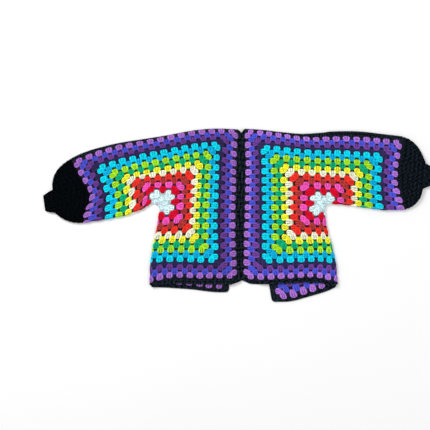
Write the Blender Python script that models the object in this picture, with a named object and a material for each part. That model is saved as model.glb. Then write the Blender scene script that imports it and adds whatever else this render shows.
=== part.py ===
"""Crocheted hexagon cardigan, laid flat on its open fronts.

Each half of the cardigan is one granny hexagon: 16 rounds of clusters worked outwards from a
ring at the underarm.  Six square corners make it ruffle, so it folds into an L: a back layer
and a front layer, with half-round turns along the underside of the sleeve and down the side.
A black edging joins the two hexagons down the middle of the back and closes each shoulder and
sleeve top; black bands finish the hem and the open fronts; a black puffed sleeve end is
gathered into a ribbed cuff.  The back lies uppermost, the fronts lie on the floor under it.

Frame: metres, +X to the right sleeve end, +Y to the neck, +Z up, floor at z = 0, origin under
the middle of the spread garment.  The tables below are in millimetres from the centre-back
line (x) and from the middle of the spread height (y).
"""
import math
from collections import namedtuple

import bmesh
import bpy
import numpy as np

MM = 0.001

# ---- driving sizes (millimetres) ----
ROUNDS = 16                  # granny rounds in each hexagon
WALL = 4.2                   # thickness of the crocheted cloth
LAYER_GAP = 1.6              # air between the back layer and the front layer
SEAM_GAP = 0.3               # clearance where two pieces are crocheted together
FRONT_DROP = 0.6             # the front layer stops this much short of the sleeve corner
STACK = 2 * WALL + LAYER_GAP           # height of two layers
TURN_OUT = STACK / 2                   # outer radius of a fold at the side or the underarm
TURN_IN = LAYER_GAP / 2                # inner radius of the same fold
TURN_STEPS = 4               # flats in each half turn
ROUND_RELIEF = 0.8           # how far each round of clusters stands above its join
EDGE_ROLL = 1.4              # how far the last rounds roll down at the shoulder
FADE_ROUNDS = 3              # folds fade and edges roll over the first or last of these rounds
HEM_BAND_BACK = {"left": 18.0, "right": 16.0}      # width of the hem band along the back
HEM_BAND_SIDE = 17.0         # and round the side fold
HEM_SIDE_START = 0.4         # it changes to that width past this share of the back hem
HEM_BAND_FRONT = {"left": 13.0, "right": 11.0}     # and along each front
HEM_BAND_CENTRE = {"left": 14.5, "right": 10.5}    # and where it meets the centre-back join
CENTRE_NARROWING = 0.35      # it narrows over this share of its first step
FRONT_BAND_NECK = 12.0       # width of the bands of the open fronts at the neck
FRONT_BAND_HEM = {"left": 12.0, "right": 18.0}     # and at the hem
FRONT_BAND_START = 2.5       # each starts this far below the shoulder join
FRONT_CORNER = 13.0          # rounding of the fronts' hem corners
BAND_ROUNDING = 1.5          # rounding at the free edge of a band
JOIN_GROOVE = 1.2            # depth of the groove where the two back edgings meet
NOTCH_TOP = 12.0             # depth of the V at the neck end of the centre-back join
NOTCH_TOP_ACROSS = 0.5       # where its point lies, as a share of the join's width
NOTCH_HEM = 4.6              # depth of the V at the hem end
NOTCH_HEM_ACROSS = 0.75
NOTCH_POWER = 1.5            # above 1 the shoulders of the V are rounded
NECK_RIM = 3.5               # black rim above the hexagons at the neck
SAG_START = 14.0             # the back begins to sink this far inside the open fronts
SAG_RUN = 30.0               # and reaches the floor this much further on
SAG_REST = 0.3               # where it stays this far above the floor
SAG_DEPTH = STACK - WALL - SAG_REST
MIN_SLOT = 0.4               # least depth of the slot in the shoulder join
PLEATS = 7.5                 # gathers across each puffed sleeve end, two stations to each
RIBS = 8                     # ribs across each face of a cuff
RIB_HEIGHT = 1.3
CUFF_STACK = STACK - 1.0     # a cuff is pulled a little flatter than the sleeve
MIDDLE_SHIFT = 7.0           # the centre-back line lies this far right of the spread's middle

# ---- stations round a hexagon, from fold to fold ----
SLEEVE_STEPS = 5             # underarm fold to sleeve corner
SHOULDER_STEPS = 8           # sleeve corner to neck corner
CENTRE_STEPS = 5             # neck corner to hem corner
HEM_STEPS = 5                # hem corner to side fold

Ring = namedtuple("Ring", "number sleeve neck hem underarm side")
# Corners of the back layer after each named round, and where that round meets the two folds.
BACK_ROUNDS = {
    "left": (
        Ring(1, (-253, 56), (-226, 49), (-227, 23), (-267, 34), (-248, 18)),
        Ring(2, (-273, 75), (-203, 71), (-208, 5), (-276, 32), (-251, 4)),
        Ring(4, (-297, 95), (-174, 99), (-180, -21), (-295, 18), (-255, -28)),
        Ring(8, (-362, 117), (-118, 164), (-132, -81), (-346, -2), (-267, -83)),
        Ring(12, (-438, 145), (-66, 220), (-74, -143), (-407, -14), (-277, -142)),
        Ring(16, (-510, 161), (-13, 254), (-18, -190), (-474, -24), (-278, -200)),
    ),
    "right": (
        Ring(1, (260, 48), (233, 49), (228, 25), (263, 32), (250, 18)),
        Ring(2, (276, 65), (211, 68), (203, -1), (276, 32), (251, 3)),
        Ring(4, (303, 91), (176, 98), (178, -26.5), (305, 30), (253, -28)),
        Ring(8, (363, 138), (115, 152), (122.5, -85.5), (356, 23), (269, -83)),
        Ring(12, (422, 184), (57, 208), (63, -142), (422, 14), (283, -142)),
        Ring(16, (481.5, 222), (9, 256), (7, -189), (484.5, 14), (288, -198)),
    ),
}
# The underarm point where all rounds start, on the outline of the folded cloth.
UNDERARM = {"left": (-254, 31), "right": (252, 29)}

FrontCorners = namedtuple("FrontCorners", "neck hem")
# The front layer shares the folds and the sleeve corner; its neck and hem corners are its own.
FRONT_CORNERS = {
    "left": FrontCorners((-26, 250), (-50, -219)),
    "right": FrontCorners((18, 254.5), (106, -250)),
}

Bow = namedtuple("Bow", "along sleeve shoulder centre hem front_hem")
# How far the last round bows off the straight line between its corners, at fifths of a side.
# sleeve: in +X, from the underarm up.  shoulder: in +Y, from the sleeve corner to the neck.
# centre: in +X, from the neck down.  hem and front_hem: in +Y, from the hem corner to the side
# fold, on the back and on the front.  Every side is straight at both ends, where the bow is 0.
BOWS = {
    "left": (
        Bow(0.2, 14, 18, -4.5, 4, -2), Bow(0.4, 33, 22, -5.5, 6, 0),
        Bow(0.6, 28, 22, -6.5, 9, 1), Bow(0.8, 14, 19.5, -3, 9.5, 2),
    ),
    "right": (
        Bow(0.2, -10, 1.5, 4.3, -1, -9), Bow(0.4, -18, -1.5, 3.5, 3, -11),
        Bow(0.6, -16, -9.5, 2, 8, -9.5), Bow(0.8, -9, -3, 0, 9.5, -6),
    ),
}
# A bow grows with this power of the round, so the outer rounds bend most.
BOW_POWERS = {"sleeve": 3, "shoulder": 3, "centre": 2, "hem": 3, "front_hem": 3}

Rim = namedtuple("Rim", "along width")
# Visible width of the black join along the shoulder, from the sleeve corner to the neck.
SHOULDER_RIMS = {
    "left": (Rim(0.00, 10.0), Rim(0.06, 12.0), Rim(0.12, 11.5), Rim(0.25, 8.5), Rim(0.40, 5.5),
             Rim(0.50, 4.5), Rim(0.60, 3.5), Rim(0.80, 3.5), Rim(1.00, NECK_RIM)),
    "right": (Rim(0.00, 14.5), Rim(0.06, 16.0), Rim(0.25, 17.8), Rim(0.40, 17.5), Rim(0.46, 17.5),
              Rim(0.60, 11.5), Rim(0.70, 7.5), Rim(0.80, 4.5), Rim(1.00, NECK_RIM)),
}

Section = namedtuple("Section", "along top under bow crown gather")
# A puffed sleeve end, from the hexagon to the cuff: outline points of its top and underside
# folds, the bow of its rows in +X, the rise of its upper face and the height of its gathers.
PUFFS = {
    "left": (
        Section(0.00, (-511.9, 170.8), (-474, -24), 33, 0.0, 0.0),
        Section(0.17, (-524, 164), (-489, -25), 26, 0.8, 0.3),
        Section(0.34, (-540, 153), (-507, -23), 18, 1.6, 0.8),
        Section(0.51, (-555, 139), (-525, -18), 11, 2.1, 1.4),
        Section(0.68, (-566, 122), (-542, -10), 4, 2.2, 2.2),
        Section(0.86, (-571, 102), (-554, -1), 1, 1.6, 3.0),
        Section(1.00, (-567, 80), (-561, 5), 0, 0.6, 2.6),
    ),
    "right": (
        Section(0.00, (481.3, 236.5), (484.5, 14), -18, 0.0, 0.0),
        Section(0.17, (500, 230), (500, 19), -14, 0.8, 0.3),
        Section(0.34, (517, 219), (512.5, 26), -11, 1.6, 0.8),
        Section(0.51, (530, 206), (523, 35), -7, 2.1, 1.4),
        Section(0.68, (541, 189), (533, 47), -4, 2.2, 2.2),
        Section(0.86, (548, 172), (539, 61), -1, 1.6, 3.0),
        Section(1.00, (552, 157), (543, 76), 0, 0.6, 2.6),
    ),
}
CuffSection = namedtuple("CuffSection", "along top under")
CUFFS = {
    "left": (CuffSection(0.0, (-566.8, 77), (-561.2, 7)), CuffSection(0.5, (-582.5, 69), (-577, 8)),
             CuffSection(1.0, (-597, 58), (-590.5, 12))),
    "right": (CuffSection(0.0, (551.7, 154), (543.3, 79)), CuffSection(0.5, (567, 148), (560, 85)),
              CuffSection(1.0, (581, 142), (576, 93))),
}
PUFF_SECTIONS = 10
CUFF_SECTIONS = 5

# A rounded hem corner of a front band: share of the rounding passed, share of the width left.
CORNER_ROUNDING = ((0.0, 1.0), (0.5, 0.88), (0.85, 0.58), (1.0, 0.25))

Crease = namedtuple("Crease", "start end width height")
# Soft folds of the uppermost layer: ridges where height is positive, troughs where negative.
CREASES = (
    Crease((-240, 45), (-70, 200), 26, 1.3),
    Crease((-262, 60), (-330, 150), 22, -0.8),
    Crease((-330, 30), (-470, 90), 24, 1.2),
    Crease((-245, -40), (-215, -190), 20, 1.0),
    Crease((-120, -60), (-95, -190), 24, -0.7),
    Crease((238, 42), (90, 190), 26, 1.2),
    Crease((262, 60), (320, 205), 24, -0.8),
    Crease((330, 60), (470, 130), 26, 1.3),
    Crease((248, -40), (262, -185), 18, 1.1),
    Crease((150, -70), (175, -190), 24, -0.7),
)

# ---- colours: linear base colour, roughness ----
FINISHES = {
    "hexagon": ((0.20, 0.16, 0.42), 0.85),
    "black": ((0.006, 0.009, 0.012), 0.9),
}


def unit(vector):
    """The vector divided by its length."""
    return vector / np.linalg.norm(vector)


def lerp(a, b, share):
    """The point a given share of the way from a to b."""
    return a + (b - a) * share


def table_column(rows, key, column, value):
    """A column of a table, read at a value of its key column, straight between the rows."""
    keys = [getattr(row, key) for row in rows]
    entries = np.array([getattr(row, column) for row in rows], float)
    if entries.ndim == 1:
        return float(np.interp(value, keys, entries))
    return np.array([np.interp(value, keys, entries[:, axis]) for axis in range(2)])


def ring_point(side, number, column):
    """A corner or fold point of the back layer after any number of rounds."""
    start = Ring(0, *[UNDERARM[side]] * 5)
    return table_column((start,) + BACK_ROUNDS[side], "number", column, number)


def front_point(side, number, corner):
    """A corner of the front layer: straight out from the underarm to the last round's corner."""
    if corner == "sleeve":
        last = ring_point(side, ROUNDS, "sleeve")
        along = 1 - 1 / SLEEVE_STEPS
        before = lerp(ring_point(side, ROUNDS, "underarm"), last, along) + bow(side, "sleeve", along, ROUNDS)
        last = last + unit(before - last) * FRONT_DROP
    else:
        last = np.array(getattr(FRONT_CORNERS[side], corner), float)
    return lerp(np.array(UNDERARM[side], float), last, number / ROUNDS)


def bow(side, column, along, number):
    """Offset of a round from the straight line between its corners.

    The table's values at the fifths of a side are carried by four sine waves, which are 0 at
    both ends and pass through every value.
    """
    rows = BOWS[side]
    reach = 0.0
    for wave in range(1, len(rows) + 1):
        height = sum(getattr(row, column) * math.sin(math.pi * wave * row.along) for row in rows)
        reach += 2 * height / (len(rows) + 1) * math.sin(math.pi * wave * along)
    reach *= (number / ROUNDS) ** BOW_POWERS[column]
    if column in ("sleeve", "centre"):
        return np.array([reach, 0.0])
    return np.array([0.0, reach])


def last_round_bow(side, column, along, steps):
    """The last round's bow as its own stations give it, straight between them."""
    place = min(along * steps, steps - 1e-9)
    before = math.floor(place)
    near = bow(side, column, before / steps, ROUNDS)
    far = bow(side, column, (before + 1) / steps, ROUNDS)
    return lerp(near, far, place - before)


def fold_frame(side, edge, number):
    """Axis point of a fold after any number of rounds, and the direction into the cloth.

    The fold's outer skin touches the garment's outline, so its axis lies one outer radius
    inside.  Inwards is square to the outline, on the side of the next corner.
    """
    corner = "sleeve" if edge == "underarm" else "hem"
    outline = ring_point(side, number, edge)
    if number == 0:
        inward = unit(ring_point(side, 1, "neck") - outline)
    else:
        ahead = ring_point(side, min(number + 1, ROUNDS), edge)
        behind = ring_point(side, max(number - 1, 0), edge)
        along = unit(ahead - behind)
        inward = np.array([-along[1], along[0]])
        if inward @ (ring_point(side, number, corner) - outline) < 0:
            inward = -inward
    return outline + inward * TURN_OUT, inward


def side_points(start, end, steps, bend):
    """Points from start up to but not including end, each moved by bend(share)."""
    shares = [index / steps for index in range(steps)]
    return [lerp(start, end, share) + bend(share) for share in shares]


def back_path(side, number):
    """Plan points of one round on the back layer, from the underarm fold to the side fold."""
    underarm, _ = fold_frame(side, "underarm", number)
    hip, _ = fold_frame(side, "side", number)
    sleeve = ring_point(side, number, "sleeve")
    neck = ring_point(side, number, "neck")
    hem = ring_point(side, number, "hem")
    path = side_points(underarm, sleeve, SLEEVE_STEPS, lambda s: bow(side, "sleeve", s, number))
    path += side_points(sleeve, neck, SHOULDER_STEPS, lambda s: bow(side, "shoulder", s, number))
    path += side_points(neck, hem, CENTRE_STEPS, lambda s: bow(side, "centre", s, number))
    path += side_points(hem, hip, HEM_STEPS, lambda s: bow(side, "hem", s, number))
    return path + [hip]


def front_path(side, number):
    """Plan points of one round on the front layer, from the side fold to the underarm fold."""
    underarm, _ = fold_frame(side, "underarm", number)
    hip, _ = fold_frame(side, "side", number)
    sleeve = front_point(side, number, "sleeve")
    neck = front_point(side, number, "neck")
    hem = front_point(side, number, "hem")
    path = side_points(hip, hem, HEM_STEPS, lambda s: bow(side, "front_hem", 1 - s, number))
    path += side_points(hem, neck, CENTRE_STEPS, lambda s: np.zeros(2))
    path += side_points(neck, sleeve, SHOULDER_STEPS, lambda s: bow(side, "shoulder", 1 - s, number))
    path += side_points(sleeve, underarm, SLEEVE_STEPS, lambda s: bow(side, "sleeve", 1 - s, number))
    return path + [underarm]


def front_edge(side, y, outward):
    """x of the open front's edge at a height y, moved towards the middle by outward."""
    corners = FRONT_CORNERS[side]
    share = (y - corners.neck[1]) / (corners.hem[1] - corners.neck[1])
    edge = corners.neck[0] + share * (corners.hem[0] - corners.neck[0])
    return edge + outward if side == "left" else edge - outward


def smooth_step(value):
    """0 below 0, 1 above 1, and a smooth rise between."""
    value = min(max(value, 0.0), 1.0)
    return value * value * (3 - 2 * value)


def sag(point):
    """How far the back sinks to the floor between the two open fronts."""
    x, y = point
    inside = FRONT_BAND_NECK + SAG_START
    room = min(x - front_edge("left", y, inside), front_edge("right", y, inside) - x)
    return SAG_DEPTH * smooth_step(room / SAG_RUN)


def crease_height(point):
    """Sum of the soft folds at a plan point: each is a bell across its own line."""
    total = 0.0
    for crease in CREASES:
        start = np.array(crease.start, float)
        run = np.array(crease.end, float) - start
        share = min(max((point - start) @ run / (run @ run), 0.0), 1.0)
        distance = np.linalg.norm(point - start - share * run)
        total += crease.height * math.exp(-((distance / crease.width) ** 2))
    return total


def edge_fade(number):
    """1 over most of the hexagon, falling to 0 at the underarm and at the last round."""
    return smooth_step(number / FADE_ROUNDS) * smooth_step((ROUNDS - number) / FADE_ROUNDS)


def back_heights(point, number):
    """Heights of the back layer's upper and lower skins at a plan point."""
    lift = crease_height(point) * edge_fade(number) - sag(point)
    return STACK + lift, STACK - WALL + lift


def turn(axis, inward, radius, angle):
    """A point of a fold: its angle is 0 on the upper layer and pi on the lower one."""
    plan = axis - inward * radius * math.sin(angle)
    return np.array([plan[0], plan[1], STACK / 2 + radius * math.cos(angle)])


def hexagon_ring(side, number, outer):
    """One closed loop of points round a skin of the folded hexagon."""
    radius = TURN_OUT if outer else TURN_IN
    angles = [math.pi * step / TURN_STEPS for step in range(1, TURN_STEPS)]
    ridge = ROUND_RELIEF * math.sin(math.pi * (number % 1)) if outer else 0.0
    last = SLEEVE_STEPS + SHOULDER_STEPS + CENTRE_STEPS + HEM_STEPS
    near_edge = smooth_step((number - ROUNDS + FADE_ROUNDS) / FADE_ROUNDS)
    loop = []
    for index, plan in enumerate(back_path(side, number)):
        on_fold = index in (0, last)
        on_shoulder = SLEEVE_STEPS <= index <= SLEEVE_STEPS + SHOULDER_STEPS
        upper, lower = (STACK, STACK - WALL) if on_fold else back_heights(plan, number)
        roll = EDGE_ROLL * near_edge if on_shoulder else 0.0
        lift = 0.0 if on_fold else ridge
        loop.append((plan[0], plan[1], upper + lift - roll if outer else lower))
    axis, inward = fold_frame(side, "side", number)
    loop += [tuple(turn(axis, inward, radius, angle)) for angle in angles]
    for plan in front_path(side, number):
        loop.append((plan[0], plan[1], 0.0 if outer else WALL))
    axis, inward = fold_frame(side, "underarm", number)
    loop += [tuple(turn(axis, inward, radius, angle)) for angle in reversed(angles)]
    return loop


def pole_ring(side, outer):
    """The loop at the underarm, where both folds share one half turn: vertices and indices."""
    radius = TURN_OUT if outer else TURN_IN
    axis, inward = fold_frame(side, "side", 0)
    angles = [math.pi * step / TURN_STEPS for step in range(TURN_STEPS + 1)]
    points = [tuple(turn(axis, inward, radius, angle)) for angle in angles]
    upper_count = len(back_path(side, 1))
    lower_count = len(front_path(side, 1))
    down = list(range(1, TURN_STEPS))
    order = [0] * upper_count + down + [TURN_STEPS] * lower_count + down[::-1]
    return points, order


class Wall:
    """Collects points and faces of one closed piece, then makes its object."""

    def __init__(self):
        self.points = []
        self.faces = []

    def loop(self, points):
        """Adds a loop of points and gives their numbers."""
        first = len(self.points)
        self.points += [tuple(point) for point in points]
        return list(range(first, len(self.points)))

    def strip(self, a, b, closed=True):
        """Faces between two loops of equal length; where points are shared, triangles."""
        count = len(a)
        for index in range(count if closed else count - 1):
            after = (index + 1) % count
            corners = [a[index], a[after], b[after], b[index]]
            face = [corner for place, corner in enumerate(corners) if corner not in corners[:place]]
            if len(face) > 2:
                self.faces.append(face)

    def build(self, name, finish):
        """Makes the object, with its faces turned outwards."""
        shifted = [((x + MIDDLE_SHIFT) * MM, y * MM, z * MM) for x, y, z in self.points]
        mesh = bpy.data.meshes.new(name)
        mesh.from_pydata(shifted, [], self.faces)
        work = bmesh.new()
        work.from_mesh(mesh)
        bmesh.ops.triangulate(work, faces=work.faces[:], ngon_method="EAR_CLIP")
        bmesh.ops.recalc_face_normals(work, faces=work.faces[:])
        work.to_mesh(mesh)
        work.free()
        mesh.shade_smooth()
        mesh.materials.append(finish)
        piece = bpy.data.objects.new(name, mesh)
        bpy.context.scene.collection.objects.link(piece)
        return piece


def make_hexagon(side, finish):
    """One hexagon folded into its L: an outer skin, an inner skin and the rim of round 16."""
    wall = Wall()
    last_loops = []
    for outer, step in ((True, 0.5), (False, 1.0)):
        points, order = pole_ring(side, outer)
        numbers = wall.loop(points)
        previous = [numbers[index] for index in order]
        for index in range(1, int(ROUNDS / step) + 1):
            current = wall.loop(hexagon_ring(side, index * step, outer))
            wall.strip(previous, current)
            previous = current
        last_loops.append(previous)
    wall.strip(last_loops[0], last_loops[1])
    return wall.build("hexagon_" + side, finish)


def stations(steps, corner):
    """Shares of the way across a tube, with one of them on the corner share."""
    if corner >= 1:
        return [step / steps for step in range(steps + 1)]
    return [corner * step / (steps - 1) for step in range(steps)] + [1.0]


def tube_section(top, under, bend, levels, upper, lower, stack):
    """Outer and inner loops of a flattened tube's section.

    top and under are the outline points of its two folds, bend(share) the plan offset of its
    rows, levels(share) the rise of the upper face and its relief, upper and lower the shares
    of its stations on the two faces, stack the tube's height.
    """
    across = unit(top - under)
    radius = stack / 2
    inner_radius = radius - WALL
    low = under + across * radius
    high = top - across * radius
    angles = [math.pi * step / TURN_STEPS for step in range(1, TURN_STEPS)]
    outer, inner = [], []
    for share in upper:
        plan = lerp(low, high, share) + bend(share)
        rise, relief = levels(share)
        outer.append((plan[0], plan[1], stack + rise + relief))
        inner.append((plan[0], plan[1], stack - WALL + rise))
    for angle in angles:
        for loop, reach in ((outer, radius), (inner, inner_radius)):
            plan = high + across * reach * math.sin(angle) + bend(1)
            loop.append((plan[0], plan[1], radius + reach * math.cos(angle)))
    for share in reversed(lower):
        plan = lerp(low, high, share) + bend(share)
        outer.append((plan[0], plan[1], 0.0))
        inner.append((plan[0], plan[1], WALL))
    for angle in reversed(angles):
        for loop, reach in ((outer, radius), (inner, inner_radius)):
            plan = low - across * reach * math.sin(angle) + bend(0)
            loop.append((plan[0], plan[1], radius + reach * math.cos(angle)))
    return outer, inner


def make_tube(name, sections, finish):
    """A flattened open-ended tube from its sections' outer and inner loops."""
    wall = Wall()
    outers = [wall.loop(outer) for outer, _ in sections]
    inners = [wall.loop(inner) for _, inner in sections]
    for loops in (outers, inners):
        for before, after in zip(loops, loops[1:]):
            wall.strip(before, after)
    wall.strip(outers[0], inners[0])
    wall.strip(outers[-1], inners[-1])
    return wall.build(name, finish)


def make_puff(side, finish):
    """The black puffed sleeve end, gathered towards the cuff."""
    rows = PUFFS[side]
    outwards = np.array([-1.0 if side == "left" else 1.0, 0.0])
    shoulder_rim = SHOULDER_RIMS[side][0].width
    sections = []
    for index in range(PUFF_SECTIONS + 1):
        along = index / PUFF_SECTIONS
        top = table_column(rows, "along", "top", along)
        under = table_column(rows, "along", "under", along)
        reach = table_column(rows, "along", "bow", along)
        crown = table_column(rows, "along", "crown", along)
        gather = table_column(rows, "along", "gather", along)
        clearance = outwards * SEAM_GAP * (1 - 2 * along)
        length = np.linalg.norm(top - under) - 2 * TURN_OUT
        corner_share = 1 - (1 - along) * (shoulder_rim - TURN_OUT) / length

        def bend(share, reach=reach, corner=corner_share, clearance=clearance):
            arch = last_round_bow(side, "sleeve", min(share / corner, 1.0), SLEEVE_STEPS)
            return arch * reach / rows[0].bow + clearance

        def levels(share, corner=corner_share, crown=crown, gather=gather):
            fade = math.sin(math.pi * share)
            wave = 0.5 - 0.5 * math.cos(2 * math.pi * PLEATS * min(share / corner, 1.0))
            return crown * fade, gather * wave * math.sqrt(fade)

        upper = stations(3 * SLEEVE_STEPS + 1, corner_share)
        lower = stations(SLEEVE_STEPS + 1, corner_share)
        sections.append(tube_section(top, under, bend, levels, upper, lower, STACK))
    return make_tube("sleeve_end_" + side, sections, finish)


def make_cuff(side, finish):
    """The ribbed cuff: ribs run along the sleeve, raised on a plain wall."""
    rows = CUFFS[side]
    sections = []
    for index in range(CUFF_SECTIONS):
        along = index / (CUFF_SECTIONS - 1)
        top = table_column(rows, "along", "top", along)
        under = table_column(rows, "along", "under", along)

        def levels(share):
            wave = 0.5 - 0.5 * math.cos(2 * math.pi * RIBS * share)
            return 0.0, RIB_HEIGHT * wave

        sections.append(tube_section(top, under, lambda share: np.zeros(2), levels,
                                     stations(2 * RIBS, 1), stations(RIBS, 1), CUFF_STACK))
    return make_tube("cuff_" + side, sections, finish)


def make_bar(name, loops, finish):
    """A solid strip from cross-section loops, closed by a face at each end."""
    wall = Wall()
    numbers = [wall.loop(loop) for loop in loops]
    for before, after in zip(numbers, numbers[1:]):
        wall.strip(before, after)
    wall.faces.append(numbers[0])
    wall.faces.append(numbers[-1])
    return wall.build(name, finish)


def make_hem_band(side, finish):
    """The hem band of one half: along the back hem, round the side fold, along the front hem."""
    loops = []
    back = back_path(side, ROUNDS)[-HEM_STEPS - 1:]
    front = front_path(side, ROUNDS)[:HEM_STEPS + 1]
    axis, inward = fold_frame(side, "side", ROUNDS)
    fold_down = unit(ring_point(side, ROUNDS, "side") - ring_point(side, ROUNDS - 2, "side"))
    front_run = unit(front[-1] - front[0])
    front_down = np.array([-front_run[1], front_run[0]])
    if front_down[1] > 0:
        front_down = -front_down
    straight_down = np.array([0.0, -1.0])
    radii = {"outer": TURN_OUT, "middle": (TURN_OUT + TURN_IN) / 2, "inner": TURN_IN}

    def profile(width):
        return ((SEAM_GAP, "outer"), (width - BAND_ROUNDING, "outer"), (width, "middle"),
                (width - BAND_ROUNDING, "inner"), (SEAM_GAP, "inner"))

    def section(plan, down, width, height_of):
        points = []
        for offset, skin in profile(width):
            place = plan + down * offset
            points.append((place[0], place[1], height_of(place, skin)))
        return points

    def back_height(place, skin):
        upper, lower = back_heights(place, ROUNDS)
        return {"outer": upper, "middle": (upper + lower) / 2, "inner": lower}[skin]

    def front_height(place, skin):
        return {"outer": 0.0, "middle": WALL / 2, "inner": WALL}[skin]

    narrowing = lerp(back[0], back[1], CENTRE_NARROWING)
    loops.append(section(back[0], straight_down, HEM_BAND_CENTRE[side], back_height))
    loops.append(section(narrowing, straight_down, HEM_BAND_BACK[side], back_height))
    for index in range(1, HEM_STEPS + 1):
        share = index / HEM_STEPS
        down = unit(lerp(straight_down, fold_down, share))
        past = max(share - HEM_SIDE_START, 0.0) / (1 - HEM_SIDE_START)
        width = lerp(HEM_BAND_BACK[side], HEM_BAND_SIDE, past)
        loops.append(section(back[index], down, width, back_height))
    for step in range(1, TURN_STEPS):
        angle = math.pi * step / TURN_STEPS
        points = []
        for offset, skin in profile(HEM_BAND_SIDE):
            place = turn(axis, inward, radii[skin], angle)
            points.append((*(place[:2] + fold_down * offset), place[2]))
        loops.append(points)
    for index, plan in enumerate(front):
        share = index / HEM_STEPS
        down = unit(lerp(fold_down, front_down, share))
        width = lerp(HEM_BAND_SIDE, HEM_BAND_FRONT[side], share)
        loops.append(section(plan, down, width, front_height))
    return make_bar("hem_band_" + side, loops, finish)


def make_front_band(side, finish):
    """The band of one open front, lying on the floor from the neck to its rounded hem corner."""
    corners = FRONT_CORNERS[side]
    neck = np.array(corners.neck, float)
    hem = np.array(corners.hem, float)
    down = unit(hem - neck)
    middle = np.array([-down[1], down[0]])
    if (middle[0] > 0) != (side == "left"):
        middle = -middle
    start = neck + down * FRONT_BAND_START
    end = hem + down * HEM_BAND_FRONT[side]
    rounding = FRONT_CORNER / np.linalg.norm(end - start)
    rows = [(index / CENTRE_STEPS, 1.0) for index in range(CENTRE_STEPS)]
    rows += [(1 - rounding * (1 - turned), narrow) for turned, narrow in CORNER_ROUNDING]
    loops = []
    for share, narrow in rows:
        plan = lerp(start, end, share)
        width = lerp(FRONT_BAND_NECK, FRONT_BAND_HEM[side], share) * narrow
        profile = ((SEAM_GAP, 0.0), (width - BAND_ROUNDING, 0.0), (width, WALL / 2),
                   (width - BAND_ROUNDING, WALL), (SEAM_GAP, WALL))
        loop = []
        for offset, height in profile:
            place = plan + middle * offset
            loop.append((place[0], place[1], height))
        loops.append(loop)
    return make_bar("front_band_" + side, loops, finish)


def make_shoulder_join(side, finish):
    """The black join closing back to front along the sleeve top and shoulder.

    Its section is a rounded bead on the outline with a slot between the layers, as deep as
    the bead's width leaves room for.
    """
    start = ring_point(side, ROUNDS, "sleeve")
    end = ring_point(side, ROUNDS, "neck")
    steps = 2 * SHOULDER_STEPS

    def edge_at(share):
        return lerp(start, end, share) + last_round_bow(side, "shoulder", share, SHOULDER_STEPS)

    loops = []
    for index in range(steps + 1):
        share = index / steps
        near = max(share - 1 / steps, 0.0)
        far = min(share + 1 / steps, 1.0)
        run = unit(edge_at(far) - edge_at(near))
        outward = np.array([-run[1], run[0]])
        if outward[1] < 0:
            outward = -outward
        if index in (0, steps):
            outward = np.array([0.0, 1.0])
        plan = edge_at(share)
        if index == 0:
            plan = plan + np.array([SEAM_GAP if side == "left" else -SEAM_GAP, 0.0])
        width = table_column(SHOULDER_RIMS[side], "along", "width", share)
        reach = min(width - SEAM_GAP, TURN_OUT)
        slot = max(width - TURN_OUT, MIN_SLOT)
        top = STACK - EDGE_ROLL
        middle = top / 2
        profile = [(SEAM_GAP, top)]
        for step in range(1, TURN_STEPS):
            angle = math.pi * step / TURN_STEPS
            bulge = width - reach + reach * math.sin(angle)
            profile.append((bulge, middle + middle * math.cos(angle)))
        profile += [(SEAM_GAP, 0.0), (SEAM_GAP, WALL)]
        profile += [(SEAM_GAP + slot, STACK / 2), (SEAM_GAP, STACK - WALL)]
        loop = []
        for offset, height in profile:
            place = plan + outward * offset
            loop.append((place[0], place[1], height))
        loops.append(loop)
    return make_bar("shoulder_join_" + side, loops, finish)


def make_centre_join(finish):
    """The black join down the middle of the back, with a V at the neck and at the hem."""
    steps = 2 * CENTRE_STEPS
    sides = {}
    for side, inwards in (("left", SEAM_GAP), ("right", -SEAM_GAP)):
        neck = ring_point(side, ROUNDS, "neck") + np.array([inwards, 0.0])
        hem = ring_point(side, ROUNDS, "hem") + np.array([inwards, 0.0])
        bows = [last_round_bow(side, "centre", index / steps, CENTRE_STEPS) for index in range(steps + 1)]
        edge = [lerp(neck, hem, index / steps) + bows[index] for index in range(steps + 1)]
        edge[0] = edge[0] + np.array([0.0, NECK_RIM])
        edge[-1] = edge[-1] - np.array([0.0, HEM_BAND_CENTRE[side]])
        sides[side] = edge
    notches = [(-NOTCH_TOP, NOTCH_TOP_ACROSS)]
    notches += [(0.0, 0.5)] * (steps - 1)
    notches += [(NOTCH_HEM, NOTCH_HEM_ACROSS)]
    loops = []
    for left, right, (notch, point) in zip(sides["left"], sides["right"], notches):
        columns = []
        for across in (0.0, 0.25, 0.5, 0.75, 1.0):
            plan = lerp(left, right, across)
            depth = min(across / point, (1 - across) / (1 - point)) ** NOTCH_POWER
            plan = plan + np.array([0.0, notch * depth])
            columns.append((plan, JOIN_GROOVE if across == 0.5 else 0.0))
        loop = []
        for plan, groove in columns:
            loop.append((plan[0], plan[1], STACK - sag(plan) - groove))
        for plan, _ in reversed(columns):
            loop.append((plan[0], plan[1], STACK - WALL - sag(plan)))
        loops.append(loop)
    wall = Wall()
    numbers = [wall.loop(loop) for loop in loops]
    for before, after in zip(numbers, numbers[1:]):
        wall.strip(before, after)
    half = len(numbers[0]) // 2
    for row in (numbers[0], numbers[-1]):
        for index in range(half - 1):
            wall.faces.append([row[index], row[index + 1], row[-index - 2], row[-index - 1]])
    return wall.build("centre_back_join", finish)


def make_finish(name):
    """A plain Principled material of one of the part's colours."""
    colour, roughness = FINISHES[name]
    finish = bpy.data.materials.new(name + "_yarn")
    finish.use_nodes = True
    shader = finish.node_tree.nodes["Principled BSDF"]
    shader.inputs["Base Color"].default_value = (*colour, 1.0)
    shader.inputs["Roughness"].default_value = roughness
    shader.inputs["Metallic"].default_value = 0.0
    return finish


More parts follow.
